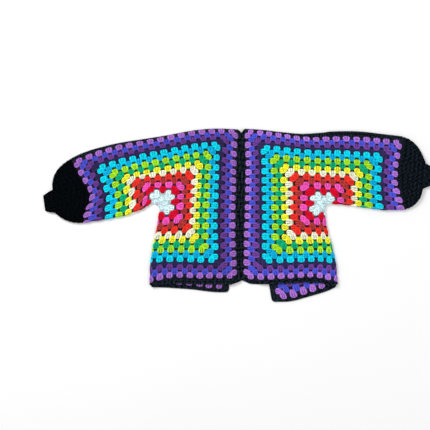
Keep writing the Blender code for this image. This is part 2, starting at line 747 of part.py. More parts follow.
def main():
    for old in list(bpy.data.objects):
        bpy.data.objects.remove(old, do_unlink=True)
    colours = make_finish("hexagon")
    black = make_finish("black")
    for side in ("left", "right"):
        make_hexagon(side, colours)
        make_puff(side, black)
        make_cuff(side, black)
        make_hem_band(side, black)
        make_front_band(side, black)
        make_shoulder_join(side, black)
    make_centre_join(black)


main()
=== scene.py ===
# %% [markdown]
# # A crocheted hexagon cardigan, laid flat
# The garment is two granny hexagons, one to each half.  Every hexagon has six square corners, so it
# cannot lie flat: it folds into an L whose one arm is the sleeve and whose other arm is the body.
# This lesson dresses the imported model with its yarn: clusters of stitches in sixteen rounds of
# colour, and the black crochet that edges and joins them.
#
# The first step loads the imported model.  Its solids are the frame that every piece is built on.

# %% Load the frame
import math

import bmesh
import bpy
import numpy as np
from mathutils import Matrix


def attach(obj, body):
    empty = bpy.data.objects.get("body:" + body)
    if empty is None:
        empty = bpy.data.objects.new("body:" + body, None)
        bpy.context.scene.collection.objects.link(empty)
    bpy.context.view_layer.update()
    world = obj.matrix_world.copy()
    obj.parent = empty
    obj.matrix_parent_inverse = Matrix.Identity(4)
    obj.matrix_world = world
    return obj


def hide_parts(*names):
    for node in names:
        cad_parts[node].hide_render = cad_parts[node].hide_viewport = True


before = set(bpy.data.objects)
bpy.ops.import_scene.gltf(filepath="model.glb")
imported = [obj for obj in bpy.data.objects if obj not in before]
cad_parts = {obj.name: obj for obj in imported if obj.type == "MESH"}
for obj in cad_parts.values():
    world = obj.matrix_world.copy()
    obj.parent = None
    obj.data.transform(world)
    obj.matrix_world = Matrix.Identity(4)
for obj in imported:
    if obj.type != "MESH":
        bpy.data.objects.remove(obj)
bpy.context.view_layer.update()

# %% [markdown]
# ## Camera, light and floor
# The garment lies flat and is seen from straight above.  One fact sets the camera: a pixel of
# that view is three millimetres of cloth.  A long lens high above keeps the sleeves, the hem and
# the neck at one scale, where a near camera would swell whatever lies under it.

# %% Camera straight above
MM = 0.001
IMAGE_SIDE = 430             # pixels along each side of the picture
PIXEL = 3.0                  # millimetres of cloth to a pixel
VIEW_MIDDLE = (-0.074, 0.0)  # the point of the floor under the middle of the picture
CAMERA_HEIGHT = 3.4
CLOTH_TOP = 0.010

camera_data = bpy.data.cameras.new("camera_above")
camera_data.sensor_width = 36.0
camera_data.lens = 36.0 * (CAMERA_HEIGHT - CLOTH_TOP) / (IMAGE_SIDE * PIXEL * MM)
camera = bpy.data.objects.new("camera_above", camera_data)
camera.location = (*VIEW_MIDDLE, CAMERA_HEIGHT)
bpy.context.scene.collection.objects.link(camera)
bpy.context.scene.camera = camera
print(f"Lens {camera_data.lens:.1f} mm, {CAMERA_HEIGHT} m above the floor")

# %% [markdown]
# Soft light from a wide panel brings out the round stitches without a hard shadow.  A pale world
# fills the holes from all sides, and the colours are shown as they are, with no film curve.

# %% Studio light
SKY_STRENGTH = 0.62


def add_panel(name, place, turn, side, power):
    """A square area light of a given side in metres and power in watts."""
    light = bpy.data.lights.new(name, "AREA")
    light.shape = "SQUARE"
    light.size = side
    light.energy = power
    panel = bpy.data.objects.new(name, light)
    panel.location = place
    panel.rotation_euler = turn
    bpy.context.scene.collection.objects.link(panel)


bpy.context.scene.view_settings.view_transform = "Standard"
sky = bpy.data.worlds.new("studio_white")
bpy.context.scene.world = sky
sky.use_nodes = True
sky.node_tree.nodes["Background"].inputs["Color"].default_value = (1.0, 1.0, 1.0, 1.0)
sky.node_tree.nodes["Background"].inputs["Strength"].default_value = SKY_STRENGTH
add_panel("panel_upper_left", (-1.6, 1.5, 1.9), (math.radians(-38), math.radians(-40), 0), 1.2, 46)
add_panel("panel_right", (2.0, -0.6, 2.2), (math.radians(14), math.radians(42), 0), 1.6, 16)
print("Two light panels and a white sky")

# %% [markdown]
# The floor isn't part of the garment.  It lies a hair under the cloth: two surfaces at one height would
# flicker through each other.

# %% Pale floor
FLOOR_HALF = 6.0             # metres from its middle to each side
FLOOR_DROP = 0.0002


def make_floor():
    """A wide square floor, white and matt with the faintest unevenness, just under the cloth."""
    mesh = bpy.data.meshes.new("studio_floor")
    corners = [(x * FLOOR_HALF, y * FLOOR_HALF, -FLOOR_DROP) for x, y in ((-1, -1), (1, -1), (1, 1), (-1, 1))]
    mesh.from_pydata(corners, [], [(0, 1, 2, 3)])
    floor = bpy.data.objects.new("studio_floor", mesh)
    bpy.context.scene.collection.objects.link(floor)
    paint = bpy.data.materials.new("floor_paint")
    paint.use_nodes = True
    nodes, links = paint.node_tree.nodes, paint.node_tree.links
    shader = nodes["Principled BSDF"]
    place = nodes.new("ShaderNodeTexCoord")
    cloud = nodes.new("ShaderNodeTexNoise")
    cloud.inputs["Scale"].default_value = 1.5
    shade = nodes.new("ShaderNodeMix")
    shade.data_type = "RGBA"
    shade.inputs[6].default_value = (0.96, 0.96, 0.96, 1)
    shade.inputs[7].default_value = (0.99, 0.99, 0.99, 1)
    links.new(place.outputs["Object"], cloud.inputs["Vector"])
    links.new(cloud.outputs["Fac"], shade.inputs[0])
    links.new(shade.outputs[2], shader.inputs["Base Color"])
    shader.inputs["Roughness"].default_value = 0.9
    shader.inputs["Specular IOR Level"].default_value = 0.1
    mesh.materials.append(paint)


make_floor()
print("The floor is", 2 * FLOOR_HALF, "m wide")

# %% [markdown]
# ## The folded cloth as one map
# Each hexagon is a sheet that grew round by round from a ring at the underarm.  A place on it has
# three numbers: the round it belongs to, how far it is along one of the six sides, and its height
# over the middle of the cloth.  The tables say where the corners of each side lie, in millimetres
# from the middle of the back, and the map below turns the three numbers into a point in space.
# With one map, the clusters, their shaded ground and the bands all follow the same folds.

# %% Sizes of the cloth, shared with the solids
ROUNDS = 16                  # rounds of clusters in a hexagon
WALL = 4.2                   # thickness of the cloth
STACK = 10.0                 # height of two layers with the air between them
TURN_OUT = STACK / 2         # outer radius of a fold
TURN_MIDDLE = TURN_OUT - WALL / 2
TOP_MIDDLE = STACK - WALL / 2
LOW_MIDDLE = WALL / 2
LAST_ROUND = np.array([float(ROUNDS)])
ROUND_DEPTH = 13.8           # one round, measured outwards
PITCH = 2 * ROUND_DEPTH      # one cluster and one gap, measured along a side
HEM_BAND_BACK = {"left": 20.0, "right": 16.0}     # width of the hem band along the back
HEM_BAND_SIDE = 17.0         # and round the side fold
HEM_BAND_FRONT = {"left": 13.0, "right": 11.0}    # and along each front
HEM_BAND_CENTRE = {"left": 14.5, "right": 10.5}   # and where it meets the centre-back join
FRONT_BAND_NECK = 12.0       # width of the bands of the open fronts at the neck
FRONT_BAND_HEM = {"left": 12.0, "right": 18.0}    # and at the hem
NECK_RIM = 3.5               # black rim above the hexagons at the neck
FRONT_DROP = 0.6             # the front layer stops this much lower at the sleeve corner
SAG_START = 14.0             # the back starts to sink this far inside the open fronts
SAG_RUN = 30.0
SAG_DEPTH = STACK - WALL - 0.3
EDGE_ROLL = 1.4              # the last rounds roll down this much at the shoulder
FADE_ROUNDS = 3              # folds fade and edges roll over the first or last of these rounds
MIDDLE_SHIFT = 7.0           # the middle of the back lies this far right of the frame's origin

RING_NUMBERS = np.array([1, 2, 4, 8, 12, 16])
RINGS = {
    "left": {
        "underarm": [(-267, 34), (-276, 32), (-295, 18), (-346, -2), (-407, -14), (-474, -24)],
        "sleeve": [(-253, 56), (-273, 75), (-297, 95), (-362, 117), (-438, 145), (-510, 161)],
        "neck": [(-226, 49), (-203, 71), (-174, 99), (-118, 164), (-66, 220), (-13, 254)],
        "hem": [(-227, 23), (-208, 5), (-180, -21), (-132, -81), (-74, -143), (-18, -190)],
        "side": [(-248, 18), (-251, 4), (-255, -28), (-267, -83), (-277, -142), (-278, -200)],
    },
    "right": {
        "underarm": [(263, 32), (276, 32), (305, 30), (356, 23), (422, 14), (484.5, 14)],
        "sleeve": [(260, 48), (276, 65), (303, 91), (363, 138), (422, 184), (481.5, 222)],
        "neck": [(233, 49), (211, 68), (176, 98), (115, 152), (57, 208), (9, 256)],
        "hem": [(228, 25), (203, -1), (178, -26.5), (122.5, -85.5), (63, -142), (7, -189)],
        "side": [(250, 18), (251, 3), (253, -28), (269, -83), (283, -142), (288, -198)],
    },
}
UNDERARM = {"left": (-254, 31), "right": (252, 29)}
FRONT_NECK = {"left": (-26, 250), "right": (18, 254.5)}
FRONT_HEM = {"left": (-50, -219), "right": (106, -250)}

# How far the last round bows off the straight line between its corners, in millimetres, at one,
# two, three and four fifths of a side.
BOWS = {
    "left": {"sleeve": [14, 33, 28, 14], "shoulder": [18, 22, 22, 19.5], "centre": [-4.5, -5.5, -6.5, -3],
             "hem": [4, 6, 9, 9.5], "front_hem": [-2, 0, 1, 2]},
    "right": {"sleeve": [-10, -18, -16, -9], "shoulder": [1.5, -1.5, -9.5, -3], "centre": [4.3, 3.5, 2, 0],
              "hem": [-1, 3, 8, 9.5], "front_hem": [-9, -11, -9.5, -6]},
}
# A bow grows with this power of the round, so the outer rounds bend most.
BOW_POWERS = {"sleeve": 3, "shoulder": 3, "centre": 2, "hem": 3, "front_hem": 3}
print(f"{ROUNDS} rounds of {ROUND_DEPTH} mm, clusters {PITCH} mm apart")

# %% [markdown]
# Soft folds cross the upper layer.  Each is a line in plan with a bell-shaped rise or dip across
# it, some broad and some narrow, and they fade where the cloth is held by its edges.

# %% Soft folds of the upper layer: start, end, half-width and height in millimetres
CREASES = (
    ((-240, 45), (-70, 200), 26, 1.3), ((-262, 60), (-330, 150), 22, -0.8),
    ((-330, 30), (-470, 90), 24, 1.2), ((-245, -40), (-215, -190), 20, 1.0),
    ((-120, -60), (-95, -190), 24, -0.7), ((238, 42), (90, 190), 26, 1.2),
    ((262, 60), (320, 205), 24, -0.8), ((330, 60), (470, 130), 26, 1.3),
    ((248, -40), (262, -185), 18, 1.1), ((150, -70), (175, -190), 24, -0.7),
    ((-400, 60), (-380, 150), 15, -0.5), ((-180, 90), (-60, 60), 17, 0.5),
    ((160, 100), (50, 40), 18, 0.5), ((400, 70), (385, 190), 14, -0.5),
)


def smooth_step(value):
    """0 below 0, 1 above 1, and the smooth rise 3v^2 - 2v^3 between."""
    value = np.clip(value, 0.0, 1.0)
    return value * value * (3 - 2 * value)


def unit(vectors):
    """Vectors divided by their lengths."""
    return vectors / np.maximum(np.linalg.norm(vectors, axis=-1, keepdims=True), 1e-9)


def front_edge(half, y, outward):
    """x of the open front's edge at a height y, moved outward towards the middle."""
    neck, hem = FRONT_NECK[half], FRONT_HEM[half]
    edge = neck[0] + (y - neck[1]) / (hem[1] - neck[1]) * (hem[0] - neck[0])
    return edge + outward if half == "left" else edge - outward


def sag(plan):
    """How far the back sinks between the open fronts: a smooth step of the room inside them."""
    inside = FRONT_BAND_NECK + SAG_START
    x, y = plan[..., 0], plan[..., 1]
    room = np.minimum(x - front_edge("left", y, inside), front_edge("right", y, inside) - x)
    return SAG_DEPTH * smooth_step(room / SAG_RUN)


def crease_height(plan):
    """Sum of the soft folds: height * exp(-(distance to the line / half-width)^2)."""
    total = np.zeros(plan.shape[:-1])
    for start, end, width, height in CREASES:
        start, run = np.array(start, float), np.subtract(end, start).astype(float)
        share = np.clip(((plan - start) @ run) / (run @ run), 0.0, 1.0)
        gap = np.linalg.norm(plan - start - share[..., None] * run, axis=-1)
        total += height * np.exp(-((gap / width) ** 2))
    return total


print(len(CREASES), "soft folds")


# %% Where the corners and the folds of any round lie
LAST_RING = 18.0             # past round 16 a corner's path goes on straight to here
POLE_TURN = 0.8              # a fold turns from the pole's direction to its own over this much of a round


def read_points(numbers, points, value):
    """Points of a table at any value, straight between its rows."""
    points = np.asarray(points, float)
    return np.stack([np.interp(value, numbers, points[:, axis]) for axis in (0, 1)], axis=-1)


def pole(half):
    """Axis point of the half turn where all rounds start, and the direction into the cloth."""
    outline = np.array(UNDERARM[half], float)
    inward = unit(np.array(RINGS[half]["neck"][0], float) - outline)
    return outline + inward * TURN_OUT, inward


def ring_point(half, name, number):
    """A back corner after any number of rounds; past the last round it goes on straight."""
    rows = np.array(RINGS[half][name], float)
    start = np.array(UNDERARM[half], float) if name in ("underarm", "side") else pole(half)[0]
    past = (LAST_RING - RING_NUMBERS[-1]) / (RING_NUMBERS[-1] - RING_NUMBERS[-2])
    rows = np.vstack([start, rows, rows[-1] + (rows[-1] - rows[-2]) * past])
    return read_points(np.concatenate([[0], RING_NUMBERS, [LAST_RING]]), rows, number)


def front_point(half, name, number):
    """A front corner: straight out from the underarm to the last round's corner."""
    if name == "sleeve":
        last = np.array(RINGS[half]["sleeve"][-1], float) - (0.0, FRONT_DROP)
    else:
        last = np.array((FRONT_NECK if name == "neck" else FRONT_HEM)[half], float)
    start = pole(half)[0]
    return start + (last - start) * (number / ROUNDS)[..., None]


def fold_frame(half, name, number):
    """Axis point of a fold and its inward direction, square to the garment's outline."""
    corner = "sleeve" if name == "underarm" else "hem"
    outline = ring_point(half, name, number)
    ahead = ring_point(half, name, np.minimum(number + 1, ROUNDS))
    behind = ring_point(half, name, np.clip(number - 1, 0, ROUNDS - 1))
    along = unit(ahead - behind)
    inward = np.stack([-along[..., 1], along[..., 0]], axis=-1)
    toward = ring_point(half, corner, np.maximum(number, 1)) - ring_point(half, name, np.maximum(number, 1))
    inward = inward * np.where((inward * toward).sum(-1) < 0, -1.0, 1.0)[..., None]
    share = smooth_step(number / POLE_TURN)[..., None]
    inward = unit(pole(half)[1] * (1 - share) + inward * share)
    return outline + inward * TURN_OUT, inward


for half in ("left", "right"):
    print(half, "underarm axis", np.round(pole(half)[0], 1))

# %% [markdown]
# Going once round a hexagon, the loop runs over the back from the sleeve corner to the neck and
# down to the hem, turns under at the side, comes back up the open front, crosses the front
# shoulder and turns up again along the underside of the sleeve.  Flat stretches and half turns
# take the same three numbers, so a cluster that lies on a fold simply bends round it.

# %% Stretches of the loop: layer, start, end, bow and whether the bow is read backwards
STRETCHES = {
    "shoulder_back": ("top", "sleeve", "neck", "shoulder", False),
    "centre_back": ("top", "neck", "hem", "centre", False),
    "hem_back": ("top", "hem", "side_axis", "hem", False),
    "hem_front": ("low", "side_axis", "hem", "front_hem", True),
    "front_opening": ("low", "hem", "neck", None, False),
    "shoulder_front": ("low", "neck", "sleeve", "shoulder", True),
    "sleeve_front": ("low", "sleeve", "underarm_axis", "sleeve", True),
    "sleeve_back": ("top", "underarm_axis", "sleeve", "sleeve", False),
}
SIDES = (
    ("shoulder_back",), ("centre_back",), ("hem_back", "side_turn", "hem_front"),
    ("front_opening",), ("shoulder_front",), ("sleeve_front", "underarm_turn", "sleeve_back"),
)


def stretch_end(half, layer, name, number):
    """The plan point where a flat stretch starts or ends."""
    if name.endswith("_axis"):
        return fold_frame(half, name[:-5], number)[0]
    return ring_point(half, name, number) if layer == "top" else front_point(half, name, number)


def bow_reach(values, share):
    """Bow at a share of a side: four sine waves, 0 at both ends, through the values at the fifths.

    The height of wave k is 2/5 of the sum of value_j * sin(pi k j / 5) over the four fifths j.
    """
    waves = np.arange(1, 5)
    heights = 0.4 * np.sin(math.pi * np.outer(waves, waves) / 5) @ np.asarray(values, float)
    return np.sin(math.pi * np.asarray(share)[..., None] * waves) @ heights


def flat_plan(half, stretch, share, number):
    """Plan point: straight between the corners, plus a bow that grows with a power of the round."""
    layer, start, end, bow, backwards = STRETCHES[stretch]
    a = stretch_end(half, layer, start, number)
    b = stretch_end(half, layer, end, number)
    plan = a + (b - a) * share[..., None]
    if bow:
        reach = bow_reach(BOWS[half][bow], 1 - share if backwards else share)
        axis = 0 if bow in ("sleeve", "centre") else 1
        plan[..., axis] += reach * (number / ROUNDS) ** BOW_POWERS[bow]
    return plan


def top_lift(plan, number, shoulder):
    """Height of the upper layer over its rest height: folds, minus the sag and the edge roll.

    shoulder is 1 along the shoulder, where the edge rolls, and 0 elsewhere.
    """
    fade = smooth_step(number / FADE_ROUNDS) * smooth_step((ROUNDS - number) / FADE_ROUNDS)
    roll = EDGE_ROLL * smooth_step((number - ROUNDS + FADE_ROUNDS) / FADE_ROUNDS) * shoulder
    return crease_height(plan) * fade - sag(plan) - roll


print(len(STRETCHES), "flat stretches and two half turns make the six sides")


# %% Any point of the folded cloth
PRESS_START = 1.2            # stitches that stand further out than this are pressed by the floor
PRESS_GIVE = 0.55            # share of what lies past it that they give way


def pressed(height, share):
    """Height - share * give * (height past the start): what rests on the floor is pressed flatter."""
    return height - share * PRESS_GIVE * np.maximum(height - PRESS_START, 0.0)


def cloth_point(half, stretch, share, number, height):
    """A point of the folded cloth in millimetres: stretch, share along it, round and height."""
    if stretch.endswith("_turn"):
        name = stretch[:-5]
        axis, inward = fold_frame(half, name, number)
        angle = math.pi * (share if name == "side" else 1 - share)
        radius = TURN_MIDDLE + pressed(height, smooth_step(-np.cos(angle)))
        plan = axis - inward * (radius * np.sin(angle))[..., None]
        return np.concatenate([plan, (STACK / 2 + radius * np.cos(angle))[..., None]], axis=-1)
    plan = flat_plan(half, stretch, share, number)
    if STRETCHES[stretch][0] == "top":
        level = TOP_MIDDLE + top_lift(plan, number, float(stretch == "shoulder_back")) + height
    else:
        level = np.maximum(LOW_MIDDLE - pressed(height, 1.0), 0.0)
    return np.concatenate([plan, level[..., None]], axis=-1)


def side_point(half, side, along, number, height):
    """A point on one of the six sides: along is 0 at its first corner and 1 at its last."""
    parts = SIDES[side]
    if len(parts) == 1:
        return cloth_point(half, parts[0], along, number, height)
    first, last = parts[0], parts[2]
    lengths = []
    for part in (first, last):
        layer, start, end, _, _ = STRETCHES[part]
        ends = [stretch_end(half, layer, name, number) for name in (start, end)]
        lengths.append(np.maximum(np.linalg.norm(ends[1] - ends[0], axis=-1), 0.5))
    turn_length = math.pi * TURN_MIDDLE
    reach = along * (lengths[0] + turn_length + lengths[1])
    past = reach - lengths[0]
    points = cloth_point(half, first, reach / lengths[0], number, height)
    bent = cloth_point(half, parts[1], np.clip(past / turn_length, 0, 1), number, height)
    after = cloth_point(half, last, (past - turn_length) / lengths[1], number, height)
    points = np.where((past > 0)[..., None], bent, points)
    return np.where((past > turn_length)[..., None], after, points)


def to_world(points):
    """Millimetres from the middle of the back, as metres in the frame."""
    return (points + (MIDDLE_SHIFT, 0.0, 0.0)) * MM


corner_test = cloth_point("left", "shoulder_back", np.array([1.0]), LAST_ROUND, np.array([0.0]))
print("Left neck corner of the back, mm:", np.round(corner_test, 1))

# %% [markdown]
# ## Meshes from arrays
# Thousands of stitches would be slow to make one by one.  Here a whole piece is worked out as
# arrays of points and faces, and handed to the mesh in one go.  Each corner of a face also gets
# a place along and around its strand of yarn, so that a material can follow the twist.

# %% Array helpers
def make_mesh(name, points, faces, strand, colours=None):
    """An object from points in mm, a list of face arrays, strand coordinates and point colours."""
    mesh = bpy.data.meshes.new(name)
    corners = np.concatenate([face.ravel() for face in faces]).astype(np.int32)
    sizes = np.concatenate([np.full(len(face), face.shape[1]) for face in faces])
    mesh.vertices.add(len(points))
    mesh.vertices.foreach_set("co", to_world(points).astype(np.float32).ravel())
    mesh.loops.add(len(corners))
    mesh.loops.foreach_set("vertex_index", corners)
    mesh.polygons.add(len(sizes))
    mesh.polygons.foreach_set("loop_start", (np.cumsum(sizes) - sizes).astype(np.int32))
    mesh.update(calc_edges=True)
    layer = mesh.uv_layers.new(name="strand")
    layer.data.foreach_set("uv", np.asarray(strand, np.float32).ravel())
    if colours is not None:
        tint = mesh.color_attributes.new("yarn_colour", "FLOAT_COLOR", "POINT")
        tint.data.foreach_set("color", np.asarray(colours, np.float32).ravel())
    mesh.validate()
    work = bmesh.new()
    work.from_mesh(mesh)
    bmesh.ops.recalc_face_normals(work, faces=work.faces[:])
    work.to_mesh(mesh)
    work.free()
    mesh.shade_smooth()
    piece = bpy.data.objects.new(name, mesh)
    bpy.context.scene.collection.objects.link(piece)
    return piece


def grid_faces(rows, columns, closed_rows=False, closed_columns=False):
    """Quads of a grid of points numbered row by row, closed in either direction if asked."""
    i, j = np.meshgrid(np.arange(rows - (not closed_rows)), np.arange(columns - (not closed_columns)),
                       indexing="ij")
    down, right = (i + 1) % rows, (j + 1) % columns
    quads = np.stack([i * columns + j, i * columns + right, down * columns + right, down * columns + j], -1)
    return quads.reshape(-1, 4)


def grid_strand(rows, columns, down, across, closed_rows=False, closed_columns=False):
    """Strand coordinates of grid_faces' corners: across and down in yarn lengths."""
    i, j = np.meshgrid(np.arange(rows - (not closed_rows)), np.arange(columns - (not closed_columns)),
                       indexing="ij")
    pairs = [(j, i), (j + 1, i), (j + 1, i + 1), (j, i + 1)]
    return np.stack([np.stack([a * across, b * down], -1) for a, b in pairs], -2).reshape(-1, 2)


def count_triangles(piece):
    """Triangles in a piece's mesh: a face of n corners counts n - 2."""
    return len(piece.data.loops) - 2 * len(piece.data.polygons)


def read_array(items, attribute, width, kind=np.float32):
    """An attribute of a mesh's vertices or edges, as an array with a row for each of them."""
    values = np.empty(width * len(items), kind)
    items.foreach_get(attribute, values)
    return values.reshape(-1, width)


print("A grid of 3 by 4 points has", len(grid_faces(3, 4)), "faces, and closed both ways",
      len(grid_faces(3, 4, closed_rows=True, closed_columns=True)))

# %% [markdown]
# ## Yarn
# The garment is worked in soft acrylic yarn: a few plies twisted together, matt, with a halo of
# fine fibres.  The twist and the fibres are one node group, used by every colour.  It gives a
# height for the bump and a shade for the hollows between the plies; the shader stays outside it.

# %% The yarn node group
def connect(tree, source, target):
    """One link of a node tree."""
    tree.links.new(source, target)


def math_node(tree, operation, *values):
    """A Math node; numbers are set on its inputs and sockets are linked to them."""
    node = tree.nodes.new("ShaderNodeMath")
    node.operation = operation
    for place, value in enumerate(values):
        if isinstance(value, (int, float)):
            node.inputs[place].default_value = value
        else:
            connect(tree, value, node.inputs[place])
    return node.outputs[0]


def make_yarn_group():
    """Twist = sine of (length / lay + turns round the strand); fibres = fine noise.

    A coarser noise, as wide as a stitch, makes one loop lighter than the next.
    """
    tree = bpy.data.node_groups.new("yarn_twist", "ShaderNodeTree")
    for name, kind, value in (("Strand", "NodeSocketVector", None), ("Place", "NodeSocketVector", None),
                              ("Lay", "NodeSocketFloat", 2.6), ("Plies", "NodeSocketFloat", 2.0),
                              ("Fibre Size", "NodeSocketFloat", 1400.0)):
        socket = tree.interface.new_socket(name, in_out="INPUT", socket_type=kind)
        if value is not None:
            socket.default_value = value
    tree.interface.new_socket("Height", in_out="OUTPUT", socket_type="NodeSocketFloat")
    tree.interface.new_socket("Shade", in_out="OUTPUT", socket_type="NodeSocketFloat")
    given = tree.nodes.new("NodeGroupInput")
    result = tree.nodes.new("NodeGroupOutput")
    split = tree.nodes.new("ShaderNodeSeparateXYZ")
    connect(tree, given.outputs["Strand"], split.inputs[0])
    along = math_node(tree, "DIVIDE", split.outputs[0], given.outputs["Lay"])
    around = math_node(tree, "MULTIPLY", split.outputs[1], given.outputs["Plies"])
    phase = math_node(tree, "MULTIPLY", math_node(tree, "ADD", along, around), 2 * math.pi)
    wave = math_node(tree, "MULTIPLY_ADD", math_node(tree, "SINE", phase), 0.5, 0.5)
    fibres = tree.nodes.new("ShaderNodeTexNoise")
    fibres.inputs["Detail"].default_value = 3.0
    fibres.inputs["Roughness"].default_value = 0.6
    connect(tree, given.outputs["Place"], fibres.inputs["Vector"])
    connect(tree, given.outputs["Fibre Size"], fibres.inputs["Scale"])
    rough = math_node(tree, "MULTIPLY", fibres.outputs["Fac"], 0.55)
    height = math_node(tree, "ADD", math_node(tree, "MULTIPLY", wave, 0.7), rough)
    hollow = math_node(tree, "POWER", wave, 0.6)
    shade = math_node(tree, "MULTIPLY_ADD", hollow, 0.20, 0.80)
    mottle = math_node(tree, "MULTIPLY_ADD", fibres.outputs["Fac"], 0.22, shade)
    loops = tree.nodes.new("ShaderNodeTexNoise")
    loops.inputs["Scale"].default_value = 300.0
    loops.inputs["Detail"].default_value = 1.0
    connect(tree, given.outputs["Place"], loops.inputs["Vector"])
    spread = tree.nodes.new("ShaderNodeMapRange")
    spread.interpolation_type = "SMOOTHSTEP"
    for place, value in enumerate((0.37, 0.60, 0.72, 1.16), start=1):
        spread.inputs[place].default_value = value
    connect(tree, loops.outputs["Fac"], spread.inputs[0])
    connect(tree, height, result.inputs["Height"])
    connect(tree, math_node(tree, "MULTIPLY", mottle, spread.outputs[0]), result.inputs["Shade"])
    return tree


YARN_GROUP = make_yarn_group()
print("Yarn group:", [socket.name for socket in YARN_GROUP.interface.items_tree])


# %% A yarn material: its colour is painted on the points of the piece
YARN_RELIEF = 0.0006         # metres that the twist stands proud


def make_yarn(name, lay, sheen, specular):
    """A matt yarn with twist, fibres and a soft sheen; lay is the length of one turn."""
    yarn = bpy.data.materials.new(name)
    yarn.use_nodes = True
    tree = yarn.node_tree
    shader = tree.nodes["Principled BSDF"]
    place = tree.nodes.new("ShaderNodeTexCoord")
    strand = tree.nodes.new("ShaderNodeUVMap")
    strand.uv_map = "strand"
    twist = tree.nodes.new("ShaderNodeGroup")
    twist.node_tree = YARN_GROUP
    twist.inputs["Lay"].default_value = lay
    connect(tree, strand.outputs["UV"], twist.inputs["Strand"])
    connect(tree, place.outputs["Object"], twist.inputs["Place"])
    source = tree.nodes.new("ShaderNodeVertexColor")
    source.layer_name = "yarn_colour"
    mix = tree.nodes.new("ShaderNodeMix")
    mix.data_type = "RGBA"
    mix.blend_type = "MULTIPLY"
    mix.inputs[0].default_value = 1.0
    grey = tree.nodes.new("ShaderNodeCombineColor")
    for socket in grey.inputs[:3]:
        connect(tree, twist.outputs["Shade"], socket)
    connect(tree, source.outputs["Color"], mix.inputs[6])
    connect(tree, grey.outputs[0], mix.inputs[7])
    connect(tree, mix.outputs[2], shader.inputs["Base Color"])
    roughness = math_node(tree, "MULTIPLY_ADD", twist.outputs["Shade"], -0.12, 0.98)
    connect(tree, roughness, shader.inputs["Roughness"])
    bump = tree.nodes.new("ShaderNodeBump")
    bump.inputs["Strength"].default_value = 0.7
    bump.inputs["Distance"].default_value = YARN_RELIEF
    connect(tree, twist.outputs["Height"], bump.inputs["Height"])
    connect(tree, bump.outputs["Normal"], shader.inputs["Normal"])
    shader.inputs["Specular IOR Level"].default_value = specular
    shader.inputs["Sheen Weight"].default_value = sheen
    shader.inputs["Sheen Roughness"].default_value = 0.6
    return yarn


coloured_yarn = make_yarn("coloured_yarn", lay=2.6, sheen=0.06, specular=0.03)
black_yarn = make_yarn("black_yarn", lay=3.0, sheen=0.0, specular=0.01)
print("Materials:", coloured_yarn.name, black_yarn.name)

# %% [markdown]
# ## The rounds of clusters
# A cluster is three long stitches worked into one gap of the round before.  Its posts start
# close together, spread out and are tied across the top by a chain of loops, so each cluster is
# a small rounded fan.  Round n has n clusters on every side, half a step off the round before,
# and two of them share each corner.

# %% The colours of the sixteen rounds, from the underarm outwards
ROUND_COLOURS = (
    "E0FAFF", "E0FAFF", "E4002C", "FF5CC6", "BE3D3B", "FF3528", "F8FCE2", "FFFC34",
    "00BB82", "B1EF28", "00BEF0", "00E5FD", "352C60", "7544A0", "5258DC", "B678DE",
)


def to_linear(code):
    """Linear red, green and blue of a six-figure colour code."""
    values = np.array([int(code[place:place + 2], 16) for place in (0, 2, 4)]) / 255
    return np.where(values <= 0.04045, values / 12.92, ((values + 0.055) / 1.055) ** 2.4)


PALETTE = np.array([to_linear(code) for code in ROUND_COLOURS])
print(np.round(PALETTE[:3], 3))

# %% [markdown]
# One cluster is made as a template, in millimetres across, outwards and up.  A post is a tube of
# six sides through five rings; its ends are hidden in the round before and under the chain.  The
# yarn-overs and the chain are thinner tubes of the same kind.

# %% Template of one cluster
# Each point of the template carries a painted shade: darker at a post's foot, on the sides of each tube and
# in the cluster's middle.
POST_SIDES = 6
CHAIN_SIDES = 5
WRAP_SIDES = 4
STITCH_YARN = 17.0           # length of yarn, in millimetres, along a post or the chain
WRAP_YARN = 7.0              # and along a wrap
CHAIN_REACH = 7.4            # the chain goes this far to both sides,
CHAIN_OUT = 15.2             # lies this far out in its middle
CHAIN_BEND = 2.6             # and bends back this much at its ends
CHAIN_LOOP = 5.1             # length of one of its loops
CLUSTER_MIDDLE = 6.0         # how far out from its foot a cluster's middle lies


def strand_tube(centres, widths, heights, sides, length, hand=1):
    """A closed tube along a centre line: centre + right * width * cos + up * height * sin.

    right is square to the line in plan, on its left where hand is -1.  It gives the points, how
    far each faces up or down, the faces of the side and the ends, and their strand places.
    """
    rings = len(centres)
    run = unit(np.gradient(centres, axis=0))
    right = hand * unit(np.stack([run[:, 1], -run[:, 0], 0 * run[:, 0]], -1))
    angle = 2 * math.pi * np.arange(sides) / sides + math.pi / sides * (sides % 2)
    circle = (np.cos(angle)[None, :, None] * right[:, None, :] * widths[:, None, None]
              + np.sin(angle)[None, :, None] * np.array([0.0, 0.0, 1.0]) * heights[:, None, None])
    ends = np.array([np.arange(sides)[::-1], (rings - 1) * sides + np.arange(sides)])
    faces = grid_faces(rings, sides, closed_columns=True), ends
    quads = grid_strand(rings, sides, length / (rings - 1), 1 / sides, closed_columns=True)
    strand = quads[:, ::-1], np.zeros((2 * sides, 2))
    return (centres[:, None, :] + circle).reshape(-1, 3), np.tile(np.abs(np.sin(angle)), rings), faces, strand


def painted_cluster_shade(points):
    """Painted shade: 0.78 in a cluster's middle, rising to a painted light rim of 1.04 at 8 mm away."""
    distance = np.hypot(points[:, 0], points[:, 1] - CLUSTER_MIDDLE)
    return 0.78 + 0.26 * smooth_step((distance - 1.0) / 7.0)


